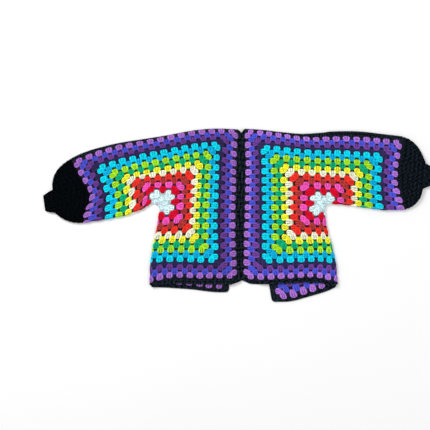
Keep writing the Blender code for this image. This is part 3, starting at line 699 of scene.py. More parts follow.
def make_post(lean):
    """One post: it starts near the others, bows outwards and ends under the chain.

    Its five rings lie at b outwards and a to the side, and have half a width and half a height.
    The middle post, of lean 0, is slimmer and lies a little higher.
    """
    b = np.array([-5.2, -0.4, 5.0, 10.2, 14.2])
    a = lean * np.array([2.2, 4.3, 6.0, 6.6, 5.4])
    width = np.array([2.2, 3.1, 3.5, 3.5, 2.6]) - 0.2 * (lean == 0)
    height = np.array([1.2, 1.9, 2.25, 2.2, 1.6]) - 0.3 * (lean == 0)
    centres = np.stack([a, b, 0.2 * np.sin(math.pi * np.clip(b, 0, 14) / 14) + 0.15 * (lean == 0)], -1)
    points, facing, faces, strand = strand_tube(centres, width, height, POST_SIDES, STITCH_YARN)
    painted_foot_shade = np.repeat([0.62, 0.90, 1.0, 1.04, 1.0], POST_SIDES)
    # painted shade: darker at the foot and on the tube's sides, lighter on its top and underside
    return points, painted_foot_shade * (0.50 + 0.58 * facing) * painted_cluster_shade(points), faces, strand


def make_wrap(lean):
    """The yarn-over of a post: a short strand that crosses it from the lower left to the upper right."""
    across = np.array([-2.9, -1.1, 1.1, 2.9])
    a = lean * 5.4 + across
    b = 5.9 + 0.75 * across + 1.2 * abs(lean)
    centres = np.stack([a, b, 2.05 - 0.16 * across ** 2], -1)
    width, height = np.array([0.7, 1.05, 1.05, 0.7]), np.full(4, 0.85)
    points, facing, faces, strand = strand_tube(centres, width, height, WRAP_SIDES, WRAP_YARN)
    # painted shade: darker on the sides of the wrap, lighter on its top and underside
    return points, (0.66 + 0.42 * facing) * painted_cluster_shade(points), faces, strand


def make_chain():
    """The chain across the top: a rope of three loops that bends down at both ends."""
    a = np.linspace(-CHAIN_REACH, CHAIN_REACH, 7)
    b = CHAIN_OUT - CHAIN_BEND * (np.abs(a) / CHAIN_REACH) ** 2.2
    swell = 0.82 + 0.22 * np.cos(2 * math.pi * a / CHAIN_LOOP)
    taper = np.array([0.6, 0.95, 1, 1, 1, 0.95, 0.6])
    width, height = 2.0 * swell * taper, 1.9 * swell * taper
    centres = np.stack([a, b, 0.1 + 0 * a], -1)
    points, facing, faces, strand = strand_tube(centres, width, height, CHAIN_SIDES, STITCH_YARN, hand=-1)
    # painted shade: darker on the sides of the chain, lighter on its top and underside
    return points, 0.66 + 0.44 * facing, faces, strand


def make_template():
    """Posts, wraps and chain as one set of arrays: points, painted shades, faces and strand places."""
    pieces = [make(lean) for make in (make_post, make_wrap) for lean in (-1, 0, 1)] + [make_chain()]
    firsts = np.cumsum([0] + [len(piece[0]) for piece in pieces])
    points = np.concatenate([piece[0] for piece in pieces])
    # the painted shade of every point
    shade = np.concatenate([piece[1] for piece in pieces])
    faces = [np.concatenate([piece[2][0] + first for piece, first in zip(pieces, firsts)])]
    strand = [np.concatenate([piece[3][0] for piece in pieces])]
    for kind in (slice(0, 3), slice(3, 6), slice(6, 7)):
        alike = zip(pieces[kind], firsts[kind])
        faces.append(np.concatenate([piece[2][1] + first for piece, first in alike]))
        strand.append(np.concatenate([piece[3][1] for piece in pieces[kind]]))
    return points, shade, faces, strand


TEMPLATE = make_template()
print("One cluster:", len(TEMPLATE[0]), "points,", sum(len(face) for face in TEMPLATE[2]), "faces")

# %% [markdown]
# Every cluster is the template, nudged, tilted and tinted a little so that no two are alike, and
# then laid on the cloth map.  Across the side its place is counted from the middle of the side,
# so rows stay in step from one round to the next.

# %% Lay the clusters of some rounds on one hexagon
CORNER_PULL = 0.98           # corner clusters draw this much nearer the middle of their side
CORNER_WIDTH = 0.88          # and are this much narrower
SIZE_SPREAD = 0.05           # clusters differ this much in size,
TILT_SPREAD = 4.0            # in tilt, in degrees,
NUDGE_SPREAD = (0.7, 0.6, 0.25)         # in place, in millimetres,
TONE_SPREAD = 0.07           # and in tone
INNERMOST = 0.18             # no stitch comes nearer the middle than this part of a round
PETAL_WIDTHS = {1: 0.80, 2: 0.76}       # the first two rounds are drawn in, like petals
PETAL_REACH = 0.46           # petals of round 1 stay within this share of their side's middle
INNER_ROUNDS = 12            # the rounds after this one are the outer ones
HALF_PAINTED_LIGHT = {"left": (1.00, 0.89), "right": (1.03, 1.10)}       # painted light and shade of each half: inner rounds, outer rounds; the right is painted lighter, the left's outer rounds darker
FLOWER_PAINTED_LIGHT = 1.10           # painted light: rounds 1 and 2 are painted brighter, as if they caught the most light
# The cloth has crept along its sides and round its folds: a slide of the clusters towards the
# end of a side in one, two and three half waves, in millimetres, that grows over the first rounds.
SLIDE_ROUNDS = 6
SLIDES = {
    "left": [(0.5, -2.0, 0.0), (-2.4, 0.6, 1.5), (-0.5, 0.0, 0.0), (0.0, 0.0, 0.0), (0.0, 0.0, 0.0),
             (-11.3, 1.0, 5.0)],
    "right": [(-2.5, 0.0, 1.0), (-2.6, 2.4, 0.8), (1.0, 6.3, -2.7), (0.0, 0.0, 0.0), (0.0, 0.0, 0.0),
              (-7.8, 1.5, -0.5)],
}
# What the outer rounds slide further, growing to this at the last one.
LAST_SLIDES = {
    "left": [(0.0, 0.0, 0.0), (-1.8, 0.6, -0.4)] + [(0.0, 0.0, 0.0)] * 4,
    "right": [(9.0, -2.5, -2.5)] + [(0.0, 0.0, 0.0)] * 5,
}


def lay_clusters(half, first_round, last_round, seed):
    """All clusters of the given rounds as one piece."""
    template, shade, faces, strand = TEMPLATE
    rounds = np.concatenate([np.full(6 * n, n) for n in range(first_round, last_round + 1)])
    sides = np.concatenate([np.repeat(np.arange(6), n) for n in range(first_round, last_round + 1)])
    places = np.concatenate([np.tile(np.arange(n), 6) for n in range(first_round, last_round + 1)])
    count = len(rounds)
    chance = np.random.default_rng(seed)
    scale = 1 + SIZE_SPREAD * chance.uniform(-1, 1, (count, 1))
    tilt = math.radians(TILT_SPREAD) * chance.uniform(-1, 1, (count, 1))
    nudge = chance.uniform(-1, 1, (count, 3)) * NUDGE_SPREAD
    tone_and_painted_light = 1 + TONE_SPREAD * chance.uniform(-1, 1, count)
    a, b, h = (template[None, :, axis] * scale for axis in (0, 1, 2))
    out = b - CLUSTER_MIDDLE
    a, b = a * np.cos(tilt) - out * np.sin(tilt), CLUSTER_MIDDLE + a * np.sin(tilt) + out * np.cos(tilt)
    a, b, h = a + nudge[:, :1], b + nudge[:, 1:2], h + nudge[:, 2:]
    number = np.maximum(rounds[:, None] - 1 + b / ROUND_DEPTH, INNERMOST)
    drawn = np.array([PETAL_WIDTHS.get(n, 1.0) for n in range(ROUNDS + 1)])[rounds]
    at_corner = (places == 0) | (places == rounds - 1)
    drawn = np.where(at_corner, CORNER_WIDTH * drawn, drawn)[:, None]
    offset = (places - (rounds - 1) / 2)[:, None] + a * drawn / PITCH
    along = 0.5 + offset * CORNER_PULL / number
    last = ((number - INNER_ROUNDS) / (ROUNDS - INNER_ROUNDS)).clip(0)
    slide = 0.0
    for waves in (1, 2, 3):
        first_part, last_part = (np.array(table[half])[sides, waves - 1][:, None]
                                 for table in (SLIDES, LAST_SLIDES))
        slide = slide + (first_part + last_part * last) * np.sin(waves * math.pi * along)
    along = along + slide * np.minimum(number / SLIDE_ROUNDS, 1) / (number * PITCH)
    drawn_in = 0.5 + PETAL_REACH * np.tanh((along - 0.5) / PETAL_REACH)
    along = np.where(rounds[:, None] == 1, drawn_in, along)
    points = np.zeros((count, len(template), 3))
    for side in range(6):
        chosen = sides == side
        points[chosen] = side_point(half, side, along[chosen], number[chosen], h[chosen])
    points[..., 2] = np.maximum(points[..., 2], 0.0)
    # random tone times painted light and shade, by half and by round
    inner, outer = HALF_PAINTED_LIGHT[half]
    tone_and_painted_light = tone_and_painted_light * np.where(rounds > INNER_ROUNDS, outer, inner) * np.where(rounds < 3, FLOWER_PAINTED_LIGHT, 1.0)
    tints = PALETTE[rounds - 1] * tone_and_painted_light[:, None]
    colours = np.ones((count, len(template), 4))
    # each cluster's tint times the template's painted shade
    colours[..., :3] = tints[:, None, :] * shade[None, :, None]
    step = (np.arange(count) * len(template))[:, None, None]
    all_faces = [(face[None] + step).reshape(-1, face.shape[1]) for face in faces]
    all_strand = np.concatenate([np.tile(part, (count, 1)) for part in strand])
    name = f"clusters_{first_round}_to_{last_round}_{half}"
    piece = make_mesh(name, points.reshape(-1, 3), all_faces, all_strand, colours.reshape(-1, 4))
    piece.data.materials.append(coloured_yarn)
    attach(piece, "root")
    print(name, count, "clusters,", count_triangles(piece), "triangles")
    return piece


for seed, half in enumerate(("left", "right")):
    lay_clusters(half, 1, 11, 20 + seed)
    lay_clusters(half, 12, 16, 40 + seed)

# %% [markdown]
# ## The shaded ground between the clusters
# Behind the clusters lies the rest of the cloth: the backs of the loops and the layer below, in deep shade.
# A real net lets almost no light through two layers, so the holes look nearly black.  A thin closed skin on
# the same map stands for it.  A hexagon with six square corners holds as much cloth as one and a half
# squares.

# %% Ground of one hexagon
GROUND_HALF = 0.45           # half its thickness
# painted shade: the holes in deep shade are painted near black
GROUND_PAINTED_SHADE = np.array([0.0025, 0.004, 0.0055])
SHADED_YARN_ROUNDS = [0, 1.3, 1.8, 2.3, 5, 16]         # painted shade: the ground is painted with the yarn around it in shade,
SHADED_YARN_SHARE = [0.90, 0.86, 0.40, 0.05, 0.04, 0.03]     # this share of its colour at these rounds
COLUMNS = {"shoulder_back": 48, "centre_back": 48, "hem_back": 27, "side_turn": 9, "hem_front": 27,
           "front_opening": 48, "shoulder_front": 48, "sleeve_front": 27, "underarm_turn": 9,
           "sleeve_back": 27}


def ground_skin(half, numbers, height):
    """Rows of points once round the folded hexagon, a row for each of the given round numbers."""
    parts = []
    for stretch, count in COLUMNS.items():
        share, number = np.meshgrid(np.arange(count) / count, numbers)
        parts.append(cloth_point(half, stretch, share, number, np.full(share.shape, height)))
    return np.concatenate(parts, axis=1)


def make_ground(half):
    """Two skins joined round the last round, with the seam at the underarm closed.

    Their rows lie half a round apart, so that they follow the folds as closely as the clusters do.
    """
    numbers = np.concatenate([[0.0, 0.25], np.arange(0.5, ROUNDS + 0.01, 0.5)])
    outer = ground_skin(half, numbers, GROUND_HALF)
    inner = ground_skin(half, numbers, -GROUND_HALF)
    loop = np.concatenate([outer, inner[::-1]])
    rows, columns = loop.shape[:2]
    faces = grid_faces(rows, columns, closed_columns=True)
    strand = grid_strand(rows, columns, ROUND_DEPTH / 2, 0.7, closed_columns=True)
    level = np.concatenate([numbers, numbers[::-1]])
    own = PALETTE[np.clip(np.ceil(level) - 1, 0, ROUNDS - 1).astype(int)]
    # painted shade: near black, plus a share of the round's yarn colour seen in shade
    tint = GROUND_PAINTED_SHADE + own * np.interp(level, SHADED_YARN_ROUNDS, SHADED_YARN_SHARE)[:, None]
    colours = np.ones((rows, columns, 4))
    colours[..., :3] = tint[:, None, :]
    piece = make_mesh(f"ground_{half}", loop.reshape(-1, 3), [faces], strand, colours.reshape(-1, 4))
    work = bmesh.new()
    work.from_mesh(piece.data)
    bmesh.ops.remove_doubles(work, verts=work.verts[:], dist=2e-5)
    bmesh.ops.recalc_face_normals(work, faces=work.faces[:])
    open_edges = sum(not edge.is_manifold for edge in work.edges)
    work.to_mesh(piece.data)
    work.free()
    piece.data.materials.append(coloured_yarn)
    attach(piece, "root")
    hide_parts(f"hexagon_{half}")
    print(piece.name, count_triangles(piece), "triangles,", open_edges, "open edges")
    return piece


grounds = {half: make_ground(half) for half in ("left", "right")}

# %% [markdown]
# ## Black stitches
# The edging is plain crochet: rows of short stitches, each a pair of strands that lean apart like
# a V.  As a surface it is a grid with four lines to a stitch, valley, strand, slit, strand, and
# four lines to a row.  Lifting the strands gives cord-like ridges with few faces.

# %% Relief of stitched rows
STITCH = 5.6                 # width of a black stitch
ROW = 6.2                    # height of a row of black stitches
STITCH_RELIEF = 1.1
BLACK_YARN_STEP = (1.5, 0.5)            # lengths of yarn from line to line, down and across
STRAND_LEAN = 0.10           # of a stitch
LINE_LIFT = np.array([0.0, 1.0, 0.45, 1.0])     # across a stitch
ROW_LIFT = np.array([0.10, 0.85, 1.0, 0.80])    # along a stitch


def stitch_lines(stitches, closed=False):
    """Places of the lines across a row in stitches, and how much each is lifted."""
    count = 4 * stitches + (not closed)
    lines = np.arange(count)
    return lines / 4, LINE_LIFT[lines % 4]


def row_lines(rows):
    """Places of the lines along the rows, from 0 to rows, and how much each is lifted."""
    lines = np.arange(4 * rows + 1)
    return lines / 4, ROW_LIFT[lines % 4]


def v_lean(places, rows):
    """Shift of the strand lines, in stitches: they open like a V from the foot of a row to its top."""
    foot = (rows % 1.0)[:, None] - 0.5
    side = np.where(np.round(places * 4) % 4 == 1, -1.0, 1.0) * (np.round(places * 4) % 2 == 1)
    return STRAND_LEAN * side[None, :] * foot


print("Lines across two stitches, and their lift:", *stitch_lines(2))

# %% [markdown]
# Black yarn shows its stitches only where a strand catches the light.  The paint follows the
# relief: a point above its neighbours is on a ridge and gets the lighter tone, and broad patches
# made of ten cosine waves let one part of the cloth shine more than the next.

# %% Black yarn over the relief
# the black yarn's own colour in its valleys, and the painted highlight of its ridges
BLACK_DEEP = np.array([0.0006, 0.0010, 0.0013])
BLACK_RIDGE = np.array([0.0190, 0.0300, 0.0440])
PATCH = (6.0, 12.0)          # the light catches on patches this many millimetres across
PATCH_WAVES = 10
RIDGE_RISE = 0.6             # millimetres from a valley to a full ridge


def ridge_share(mesh):
    """0 in the valleys and 1 on the ridges: a smooth step of how far a point stands above its
    neighbours' mean, in millimetres, over RIDGE_RISE."""
    points, normals = (read_array(mesh.vertices, name, 3) for name in ("co", "normal"))
    edges = read_array(mesh.edges, "vertices", 2, np.int32)
    total = np.zeros_like(points)
    np.add.at(total, edges[:, 0], points[edges[:, 1]])
    np.add.at(total, edges[:, 1], points[edges[:, 0]])
    neighbours = np.bincount(edges.ravel(), minlength=len(points))[:, None]
    rise = ((points - total / neighbours) * normals).sum(-1) / MM
    return smooth_step(0.5 + rise / RIDGE_RISE)


def paint_black_with_ridge_light(piece, light=1.0):
    """Black yarn, riding on the garment, with a painted highlight: the strands catch a little bluish light.

    The patches are a sum of cosine waves of random heading, divided by the root of half their
    number, so that their spread is 1 whatever the number.
    """
    share = ridge_share(piece.data)
    chance = np.random.default_rng(len(share))
    points = read_array(piece.data.vertices, "co", 3)
    heading = chance.normal(size=(3, PATCH_WAVES))
    heading *= 2 * math.pi / (chance.uniform(*PATCH, PATCH_WAVES) * MM * np.linalg.norm(heading, axis=0))
    waves = np.cos(points @ heading + chance.uniform(0, 7, PATCH_WAVES))
    patch = waves.sum(-1) / math.sqrt(PATCH_WAVES / 2)
    # painted highlight: ridges and bright patches are painted lighter and bluer
    share = share * light * (0.95 + 0.6 * patch).clip(0.1, 2.4)
    colours = np.ones((len(share), 4), np.float32)
    colours[:, :3] = BLACK_DEEP + (BLACK_RIDGE - BLACK_DEEP) * share[:, None]
    tint = piece.data.color_attributes.new("yarn_colour", "FLOAT_COLOR", "POINT")
    tint.data.foreach_set("color", colours.ravel())
    piece.data.materials.append(black_yarn)
    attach(piece, "root")
    print(piece.name, count_triangles(piece), "triangles")
    return piece


print(f"A black stitch is {STITCH} mm wide, a row {ROW} mm high")

# %% [markdown]
# ## Puffed sleeve ends and ribbed cuffs
# The end of each sleeve is a black tube worked round and round, then gathered into a narrow
# ribbed cuff, so it swells before it closes.  A flattened tube is a loop of four stretches: the
# upper face, the fold along the top, the lower face on the floor and the fold along the
# underside.  The tables give the two folds of each section; the gathers grow towards the cuff.

# %% Sections of the sleeve ends and of the cuffs
PUFF_ALONG = np.array([0.0, 0.17, 0.34, 0.51, 0.68, 0.86, 1.0])
PUFFS = {
    "left": {
        "top": [(-511.9, 170.8), (-524, 164), (-540, 153), (-555, 139), (-566, 122), (-571, 102),
                (-567, 80)],
        "under": [(-474, -24), (-489, -25), (-507, -23), (-525, -18), (-542, -10), (-554, -1),
                  (-561, 5)],
        "bow": [33, 26, 18, 11, 4, 1, 0],
    },
    "right": {
        "top": [(481.3, 236.5), (500, 230), (517, 219), (530, 206), (541, 189), (548, 172),
                (552, 157)],
        "under": [(484.5, 14), (500, 19), (512.5, 26), (523, 35), (533, 47), (539, 61), (543, 76)],
        "bow": [-18, -14, -11, -7, -4, -1, 0],
    },
}
CROWN = [0.0, 0.8, 1.6, 2.1, 2.2, 1.6, 0.6]     # rise of the upper face
GATHER = [0.0, 0.3, 0.8, 1.4, 2.2, 3.0, 2.6]    # height of the gathers
PLEATS = 7.5                 # across the upper face
PLEAT_WANDER = 0.12          # of a pleat
CUFFS = {
    "left": {"top": [(-566.8, 77), (-582.5, 69), (-597, 58)],
             "under": [(-561.2, 7), (-577, 8), (-590.5, 12)]},
    "right": {"top": [(551.7, 154), (567, 148), (581, 142)],
              "under": [(543.3, 79), (560, 85), (576, 93)]},
}
CUFF_ALONG = np.array([0.0, 0.5, 1.0])
CUFF_STACK = STACK - 1.0     # a cuff is pulled a little flatter than the sleeve
CUFF_ROWS = 7
CUFF_STITCHES = 32
CUFF_RELIEF = 0.7
CUFF_WAIST = 0.5             # a cuff is drawn in this much half-way along
RIBS = 8                     # across each face of a cuff
RIB_RELIEF = 1.5
SHOULDER_RIM_AT_SLEEVE = {"left": 10.0, "right": 14.5}     # width of the shoulder join there
PUFF_LENGTH = 85.0
PUFF_ROWS = 8                # taller stitches than on the bands
PUFF_STITCHES = 56
PUFF_RELIEF = 1.5
SLEEVE_LIGHT = {"left": 0.12, "right": 0.7}     # share of the painted ridge light: the left end is painted in deeper shade
UNDERLAP = 1.2               # a band starts this far under the last clusters
TUCK_DEPTH = 1.8             # and this much lower than its own face, so their tips lie on it
TUCK_RUN = 5.5
print("Sections of a sleeve end:", len(PUFF_ALONG), "and of a cuff:", len(CUFF_ALONG))


# %% Skins of a flattened tube
def tuck(offset):
    """How far a black face sinks at a distance past the last round."""
    return TUCK_DEPTH * (1 - smooth_step((offset + UNDERLAP) / TUCK_RUN))


def tube_points(top, under, bend, stack, place, lift, crown, wall):
    """Points of a flattened tube.

    place runs once round, 0 to 1: upper face from the underside fold to the top fold, half turn,
    lower face back, half turn.  lift raises the skin outwards; wall moves it inwards; crown is the
    rise of the upper face.  It gives plan points, levels and the share of the way across.
    """
    across = unit(top - under)
    radius = stack / 2
    low = under + across * radius
    high = top - across * radius
    face = np.linalg.norm(high - low, axis=-1)[:, None]
    arc = math.pi * radius
    reach = place * (2 * face + 2 * arc)
    upper = np.clip(reach / face, 0, 1)
    lower = np.clip((reach - face - arc) / face, 0, 1)
    first_turn = np.clip((reach - face) / arc, 0, 1)
    last_turn = np.clip((reach - 2 * face - arc) / arc, 0, 1)
    share = np.where(reach <= face + arc, upper, 1 - lower)
    plan = low[:, None] + (high - low)[:, None] * share[..., None]
    plan[..., 0] += bend(share)
    angle = math.pi * np.where(reach <= face + arc, first_turn, 1 - last_turn)
    side = np.where(reach <= face + arc, 1.0, -1.0)
    skin = radius + lift - wall
    bulge = skin * np.sin(angle) * side
    plan = plan + across[:, None] * bulge[..., None]
    level = radius + skin * np.cos(angle)
    return plan, np.maximum(level + crown * (reach < face), wall), share


ROW_WANDER = 0.35            # the rows wander this much of a row up and down
WANDER_STITCHES = 9.0        # over this many stitches
ROW_SLANT = 0.12             # each row starts this much of a stitch further round
INNER_RINGS = 9


def make_tube_shell(name, section, rows, stitches, relief):
    """Outer skin of stitched rows and a plain inner skin, joined at both ends."""
    row_places, row_lift = row_lines(rows)
    places, line_lift = stitch_lines(stitches, closed=True)
    lean = v_lean(places, row_places)
    wander = ROW_WANDER * np.sin(2 * math.pi * places / WANDER_STITCHES)[None, :] / rows
    along = row_places[:, None] / rows + wander * np.sin(math.pi * row_places / rows)[:, None]
    along = np.clip(along, 0, 1)
    around = ((places[None, :] + lean + ROW_SLANT * row_places[:, None]) / stitches) % 1.0
    lift = relief * row_lift[:, None] * line_lift[None, :]
    outer = section(along, around, lift - relief, 0.0)
    few = np.linspace(0, 1, INNER_RINGS)[:, None] + 0 * places[None, :]
    inner = section(few, (places[None, :] + 0 * few) / stitches, 0 * few, WALL)
    loop = np.concatenate([outer, inner[::-1]])
    rows_all, columns = loop.shape[:2]
    faces = grid_faces(rows_all, columns, closed_rows=True, closed_columns=True)
    strand = grid_strand(rows_all, columns, *BLACK_YARN_STEP, closed_rows=True, closed_columns=True)
    return make_mesh(name, loop.reshape(-1, 3), [faces], strand[:, ::-1])


def puff_section(half):
    """Section function of a sleeve end: along 0 to 1 from the hexagon to the cuff."""
    table = PUFFS[half]

    def section(along, around, lift, wall):
        middle = along.mean(axis=1)
        top = read_points(PUFF_ALONG, table["top"], middle)
        under = read_points(PUFF_ALONG, table["under"], middle)
        reach = np.interp(along, PUFF_ALONG, table["bow"]) / table["bow"][0]
        length = np.linalg.norm(top - under, axis=-1)[:, None] - STACK
        corner = 1 - (1 - middle[:, None]) * (SHOULDER_RIM_AT_SLEEVE[half] - TURN_OUT) / length
        crown = np.interp(along, PUFF_ALONG, CROWN)
        gather = np.interp(along, PUFF_ALONG, GATHER)

        def bend(share):
            return bow_reach(BOWS[half]["sleeve"], np.minimum(share / corner, 1)) * reach

        def heights(share):
            fade = np.sin(math.pi * np.clip(share, 0, 1))
            wander = PLEAT_WANDER * np.sin(6 * share + 3 * along)
            pleat = 0.5 - 0.5 * np.cos(2 * math.pi * (PLEATS * share + wander))
            return crown * fade + gather * pleat * np.sqrt(np.maximum(fade, 0))

        lift = lift - tuck(along * PUFF_LENGTH - UNDERLAP) * (wall == 0)
        share = tube_points(top, under, bend, STACK, around, lift, 0.0, wall)[2]
        plan, level, _ = tube_points(top, under, bend, STACK, around, lift, heights(share), wall)
        drift = (along - middle[:, None]) * PUFF_LENGTH
        outward = -1.0 if half == "left" else 1.0
        plan = plan + np.stack([outward * drift, 0 * drift], -1)
        return np.concatenate([plan, level[..., None]], axis=-1)

    return section


def cuff_section(half):
    """Section function of a cuff: ribs run along it, and its rows of stitches run round."""
    table = CUFFS[half]

    def section(along, around, lift, wall):
        middle = along.mean(axis=1)
        top = read_points(CUFF_ALONG, table["top"], middle)
        under = read_points(CUFF_ALONG, table["under"], middle)
        rib = RIB_RELIEF * (0.5 - 0.5 * np.cos(2 * math.pi * RIBS * 2 * around)) * (wall == 0)
        waist = CUFF_WAIST * np.sin(math.pi * along) * (wall == 0)
        plan, level, _ = tube_points(top, under, lambda share: 0 * share, CUFF_STACK, around,
                                     lift + rib - waist, 0.0, wall)
        return np.concatenate([plan, level[..., None]], axis=-1)

    return section


# %% Make the sleeve ends and the cuffs
sleeve_ends, cuffs = {}, {}
for half in ("left", "right"):
    puff = make_tube_shell(f"puffed_sleeve_{half}", puff_section(half), PUFF_ROWS, PUFF_STITCHES,
                           PUFF_RELIEF)
    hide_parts(f"sleeve_end_{half}")
    sleeve_ends[half] = paint_black_with_ridge_light(puff, light=SLEEVE_LIGHT[half])
    cuff = make_tube_shell(f"ribbed_cuff_{half}", cuff_section(half), CUFF_ROWS, CUFF_STITCHES,
                           CUFF_RELIEF)
    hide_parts(f"cuff_{half}")
    cuffs[half] = paint_black_with_ridge_light(cuff, light=SLEEVE_LIGHT[half])

# %% [markdown]
# ## Bands and joins
# The hems, the open fronts, the shoulders and the middle of the back are all edged in black.
# Each band is a profile carried along a path: rows of stitches on both faces and a rounded free
# edge.  A path point and an offset square to it give the place; the cloth map gives the height.

# %% Profile of a band and its stitched faces
EDGE_ROUNDING = 1.8          # radius of a band's free edge
EDGE_ANGLES = np.radians([55, 90, 125])
EDGE_LIFT = [0.6, 0.9, 0.6]


def closed_strip(name, points):
    """A piece from lines of points along a path: closed round its profile, with a face at each end."""
    rows, columns = points.shape[:2]
    faces = grid_faces(rows, columns, closed_rows=True)
    strand = grid_strand(rows, columns, *BLACK_YARN_STEP, closed_rows=True)
    ends = np.array([np.arange(rows) * columns, (np.arange(rows) * columns + columns - 1)[::-1]])
    strand = np.concatenate([strand[:, ::-1], np.zeros((2 * rows, 2))])
    return make_mesh(name, points.reshape(-1, 3), [faces, ends], strand)


def band_profile(rows):
    """Offsets as a share of the width, heights in half walls and the lift of each line.

    The lines go out over the outer face, round the free edge and back over the inner face.
    """
    face = np.arange(4 * rows) / (4 * rows)
    lift = ROW_LIFT[np.arange(4 * rows) % 4]
    share = np.concatenate([face, 1 + 0 * EDGE_ANGLES, face[::-1]])
    skin = np.concatenate([0 * face + 1, np.cos(EDGE_ANGLES), 0 * face - 1])
    edge = np.concatenate([0 * face, np.sin(EDGE_ANGLES), 0 * face])
    return share, skin, edge, np.concatenate([lift, EDGE_LIFT, lift[::-1]])


def band_shell(name, grid, rows, line_lift):
    """A closed band from grid(offset share, height, edge) over the columns of its path."""
    share, skin, edge, lift = band_profile(rows)
    rise = STITCH_RELIEF * (lift[:, None] * line_lift[None, :] - 1.0)
    outwards = np.sign(skin) * (np.abs(skin) > 0.3)      # 0 on the line half-way round the edge
    level = skin[:, None] * (WALL / 2) + outwards[:, None] * rise
    out = edge[:, None] * (EDGE_ROUNDING + rise)
    return closed_strip(name, grid(share[:, None] + 0 * out, level, out))


HEM_ROWS = 3
FRONT_ROWS = 2
print("Lines in a hem band's profile:", len(band_profile(HEM_ROWS)[0]))

# %% [markdown]
# The hem band is one strip that runs along the back, round the side fold and along the front, as
# the maker works it in one go.  It takes its heights from the cloth map, so it bends with the
# fold, and its width changes smoothly between the sizes of the back, the side and the front.

# %% Hem bands
CENTRE_NARROWING = 0.07      # the band widens from the centre-back join over this share of the hem
HEM_SIDE_START = 0.4         # and turns to its width at the side past this share
FRONT_TURN = 0.4             # along the front it turns square to its edge over this share
FRONT_NARROWING = 0.625      # and narrows over this share
FOLD_CORNER = 7.0            # rounding of the hem's corner at the side fold
HEM_OUTSET = 1.0             # what the rounded free edge adds to the width


def hem_lines(half):
    """Stretches of the hem: name, shares, lifts and distances from the side fold of their lines."""
    parts = []
    for stretch in ("hem_back", "side_turn", "hem_front"):
        if stretch == "side_turn":
            length = math.pi * TURN_MIDDLE
        else:
            ends = [flat_plan(half, stretch, np.array([share]), LAST_ROUND) for share in (0.0, 1.0)]
            length = np.linalg.norm(ends[1] - ends[0])
        stitches = max(round(length / STITCH), 2)
        places, lift = stitch_lines(stitches, closed=stretch != "hem_front")
        share = places / stitches
        from_fold = {"hem_back": 1 - share, "side_turn": 0 * share, "hem_front": share}[stretch]
        parts.append((stretch, share, lift, from_fold * length))
    return parts


def make_hem_band(half):
    """The hem band of one half: back hem, round the side, front hem."""
    parts = hem_lines(half)
    fold_down = unit(ring_point(half, "side", ROUNDS) - ring_point(half, "side", ROUNDS - 2))
    ends = [flat_plan(half, "hem_front", np.array([share]), LAST_ROUND)[0] for share in (0.0, 1.0)]
    run = unit(ends[1] - ends[0])
    front_down = np.array([-run[1], run[0]]) * (-1 if run[0] > 0 else 1)

    def grid(share, level, out):
        blocks, first = [], 0
        for stretch, places, _, from_fold in parts:
            columns = slice(first, first + len(places))
            first += len(places)
            part_share = share[:, columns]
            place = places[None, :] + 0 * part_share
            number = 0 * place + ROUNDS
            if stretch == "hem_back":
                down = unit(np.array([0.0, -1.0]) + (fold_down - (0.0, -1.0)) * place[..., None])
                centre, back = HEM_BAND_CENTRE[half], HEM_BAND_BACK[half]
                width = centre + (back - centre) * smooth_step(place / CENTRE_NARROWING)
                past = (place - HEM_SIDE_START) / (1 - HEM_SIDE_START)
                width = width + (HEM_BAND_SIDE - back) * smooth_step(past)
            elif stretch == "side_turn":
                down = fold_down + 0 * place[..., None]
                width = HEM_BAND_SIDE + 0 * place
            else:
                turned = smooth_step(place / FRONT_TURN)[..., None]
                down = unit(fold_down + (front_down - fold_down) * turned)
                narrowed = smooth_step(place / FRONT_NARROWING)
                width = HEM_BAND_SIDE + (HEM_BAND_FRONT[half] - HEM_BAND_SIDE) * narrowed
            short = FOLD_CORNER - from_fold.clip(0, FOLD_CORNER)
            width = width + HEM_OUTSET - FOLD_CORNER + np.sqrt(FOLD_CORNER ** 2 - short ** 2)
            offset = part_share * (width - EDGE_ROUNDING + UNDERLAP) - UNDERLAP + out[:, columns]
            height = level[:, columns]
            points = cloth_point(half, stretch, place, number, height - np.sign(height) * tuck(offset))
            points[..., :2] += down * offset[..., None]
            if stretch == "hem_back":
                moved = sag(points[..., :2]) - sag(points[..., :2] - down * offset[..., None])
                points[..., 2] -= moved
            blocks.append(points)
        return np.concatenate(blocks, axis=1)

    line_lift = np.concatenate([part[2] for part in parts])
    band = band_shell(f"hem_edging_{half}", grid, HEM_ROWS, line_lift)
    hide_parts(f"hem_band_{half}")
    return paint_black_with_ridge_light(band)


hem_bands = {half: make_hem_band(half) for half in ("left", "right")}

# %% [markdown]
# Each open front is edged by a straight band of two rows that lies on the floor.  It ends in a
# rounded corner above the hem band, where the real one is eased round by working it loosely.

# %% Bands of the open fronts
FRONT_BAND_START = 2.5       # below the shoulder join
FRONT_CORNER = 13.0          # rounding of the hem corner
CORNER_LEAST = 0.2           # share of the width that is left at the corner
CORNER_POWER = 2.2           # 2 would be a quarter ellipse, and more is squarer


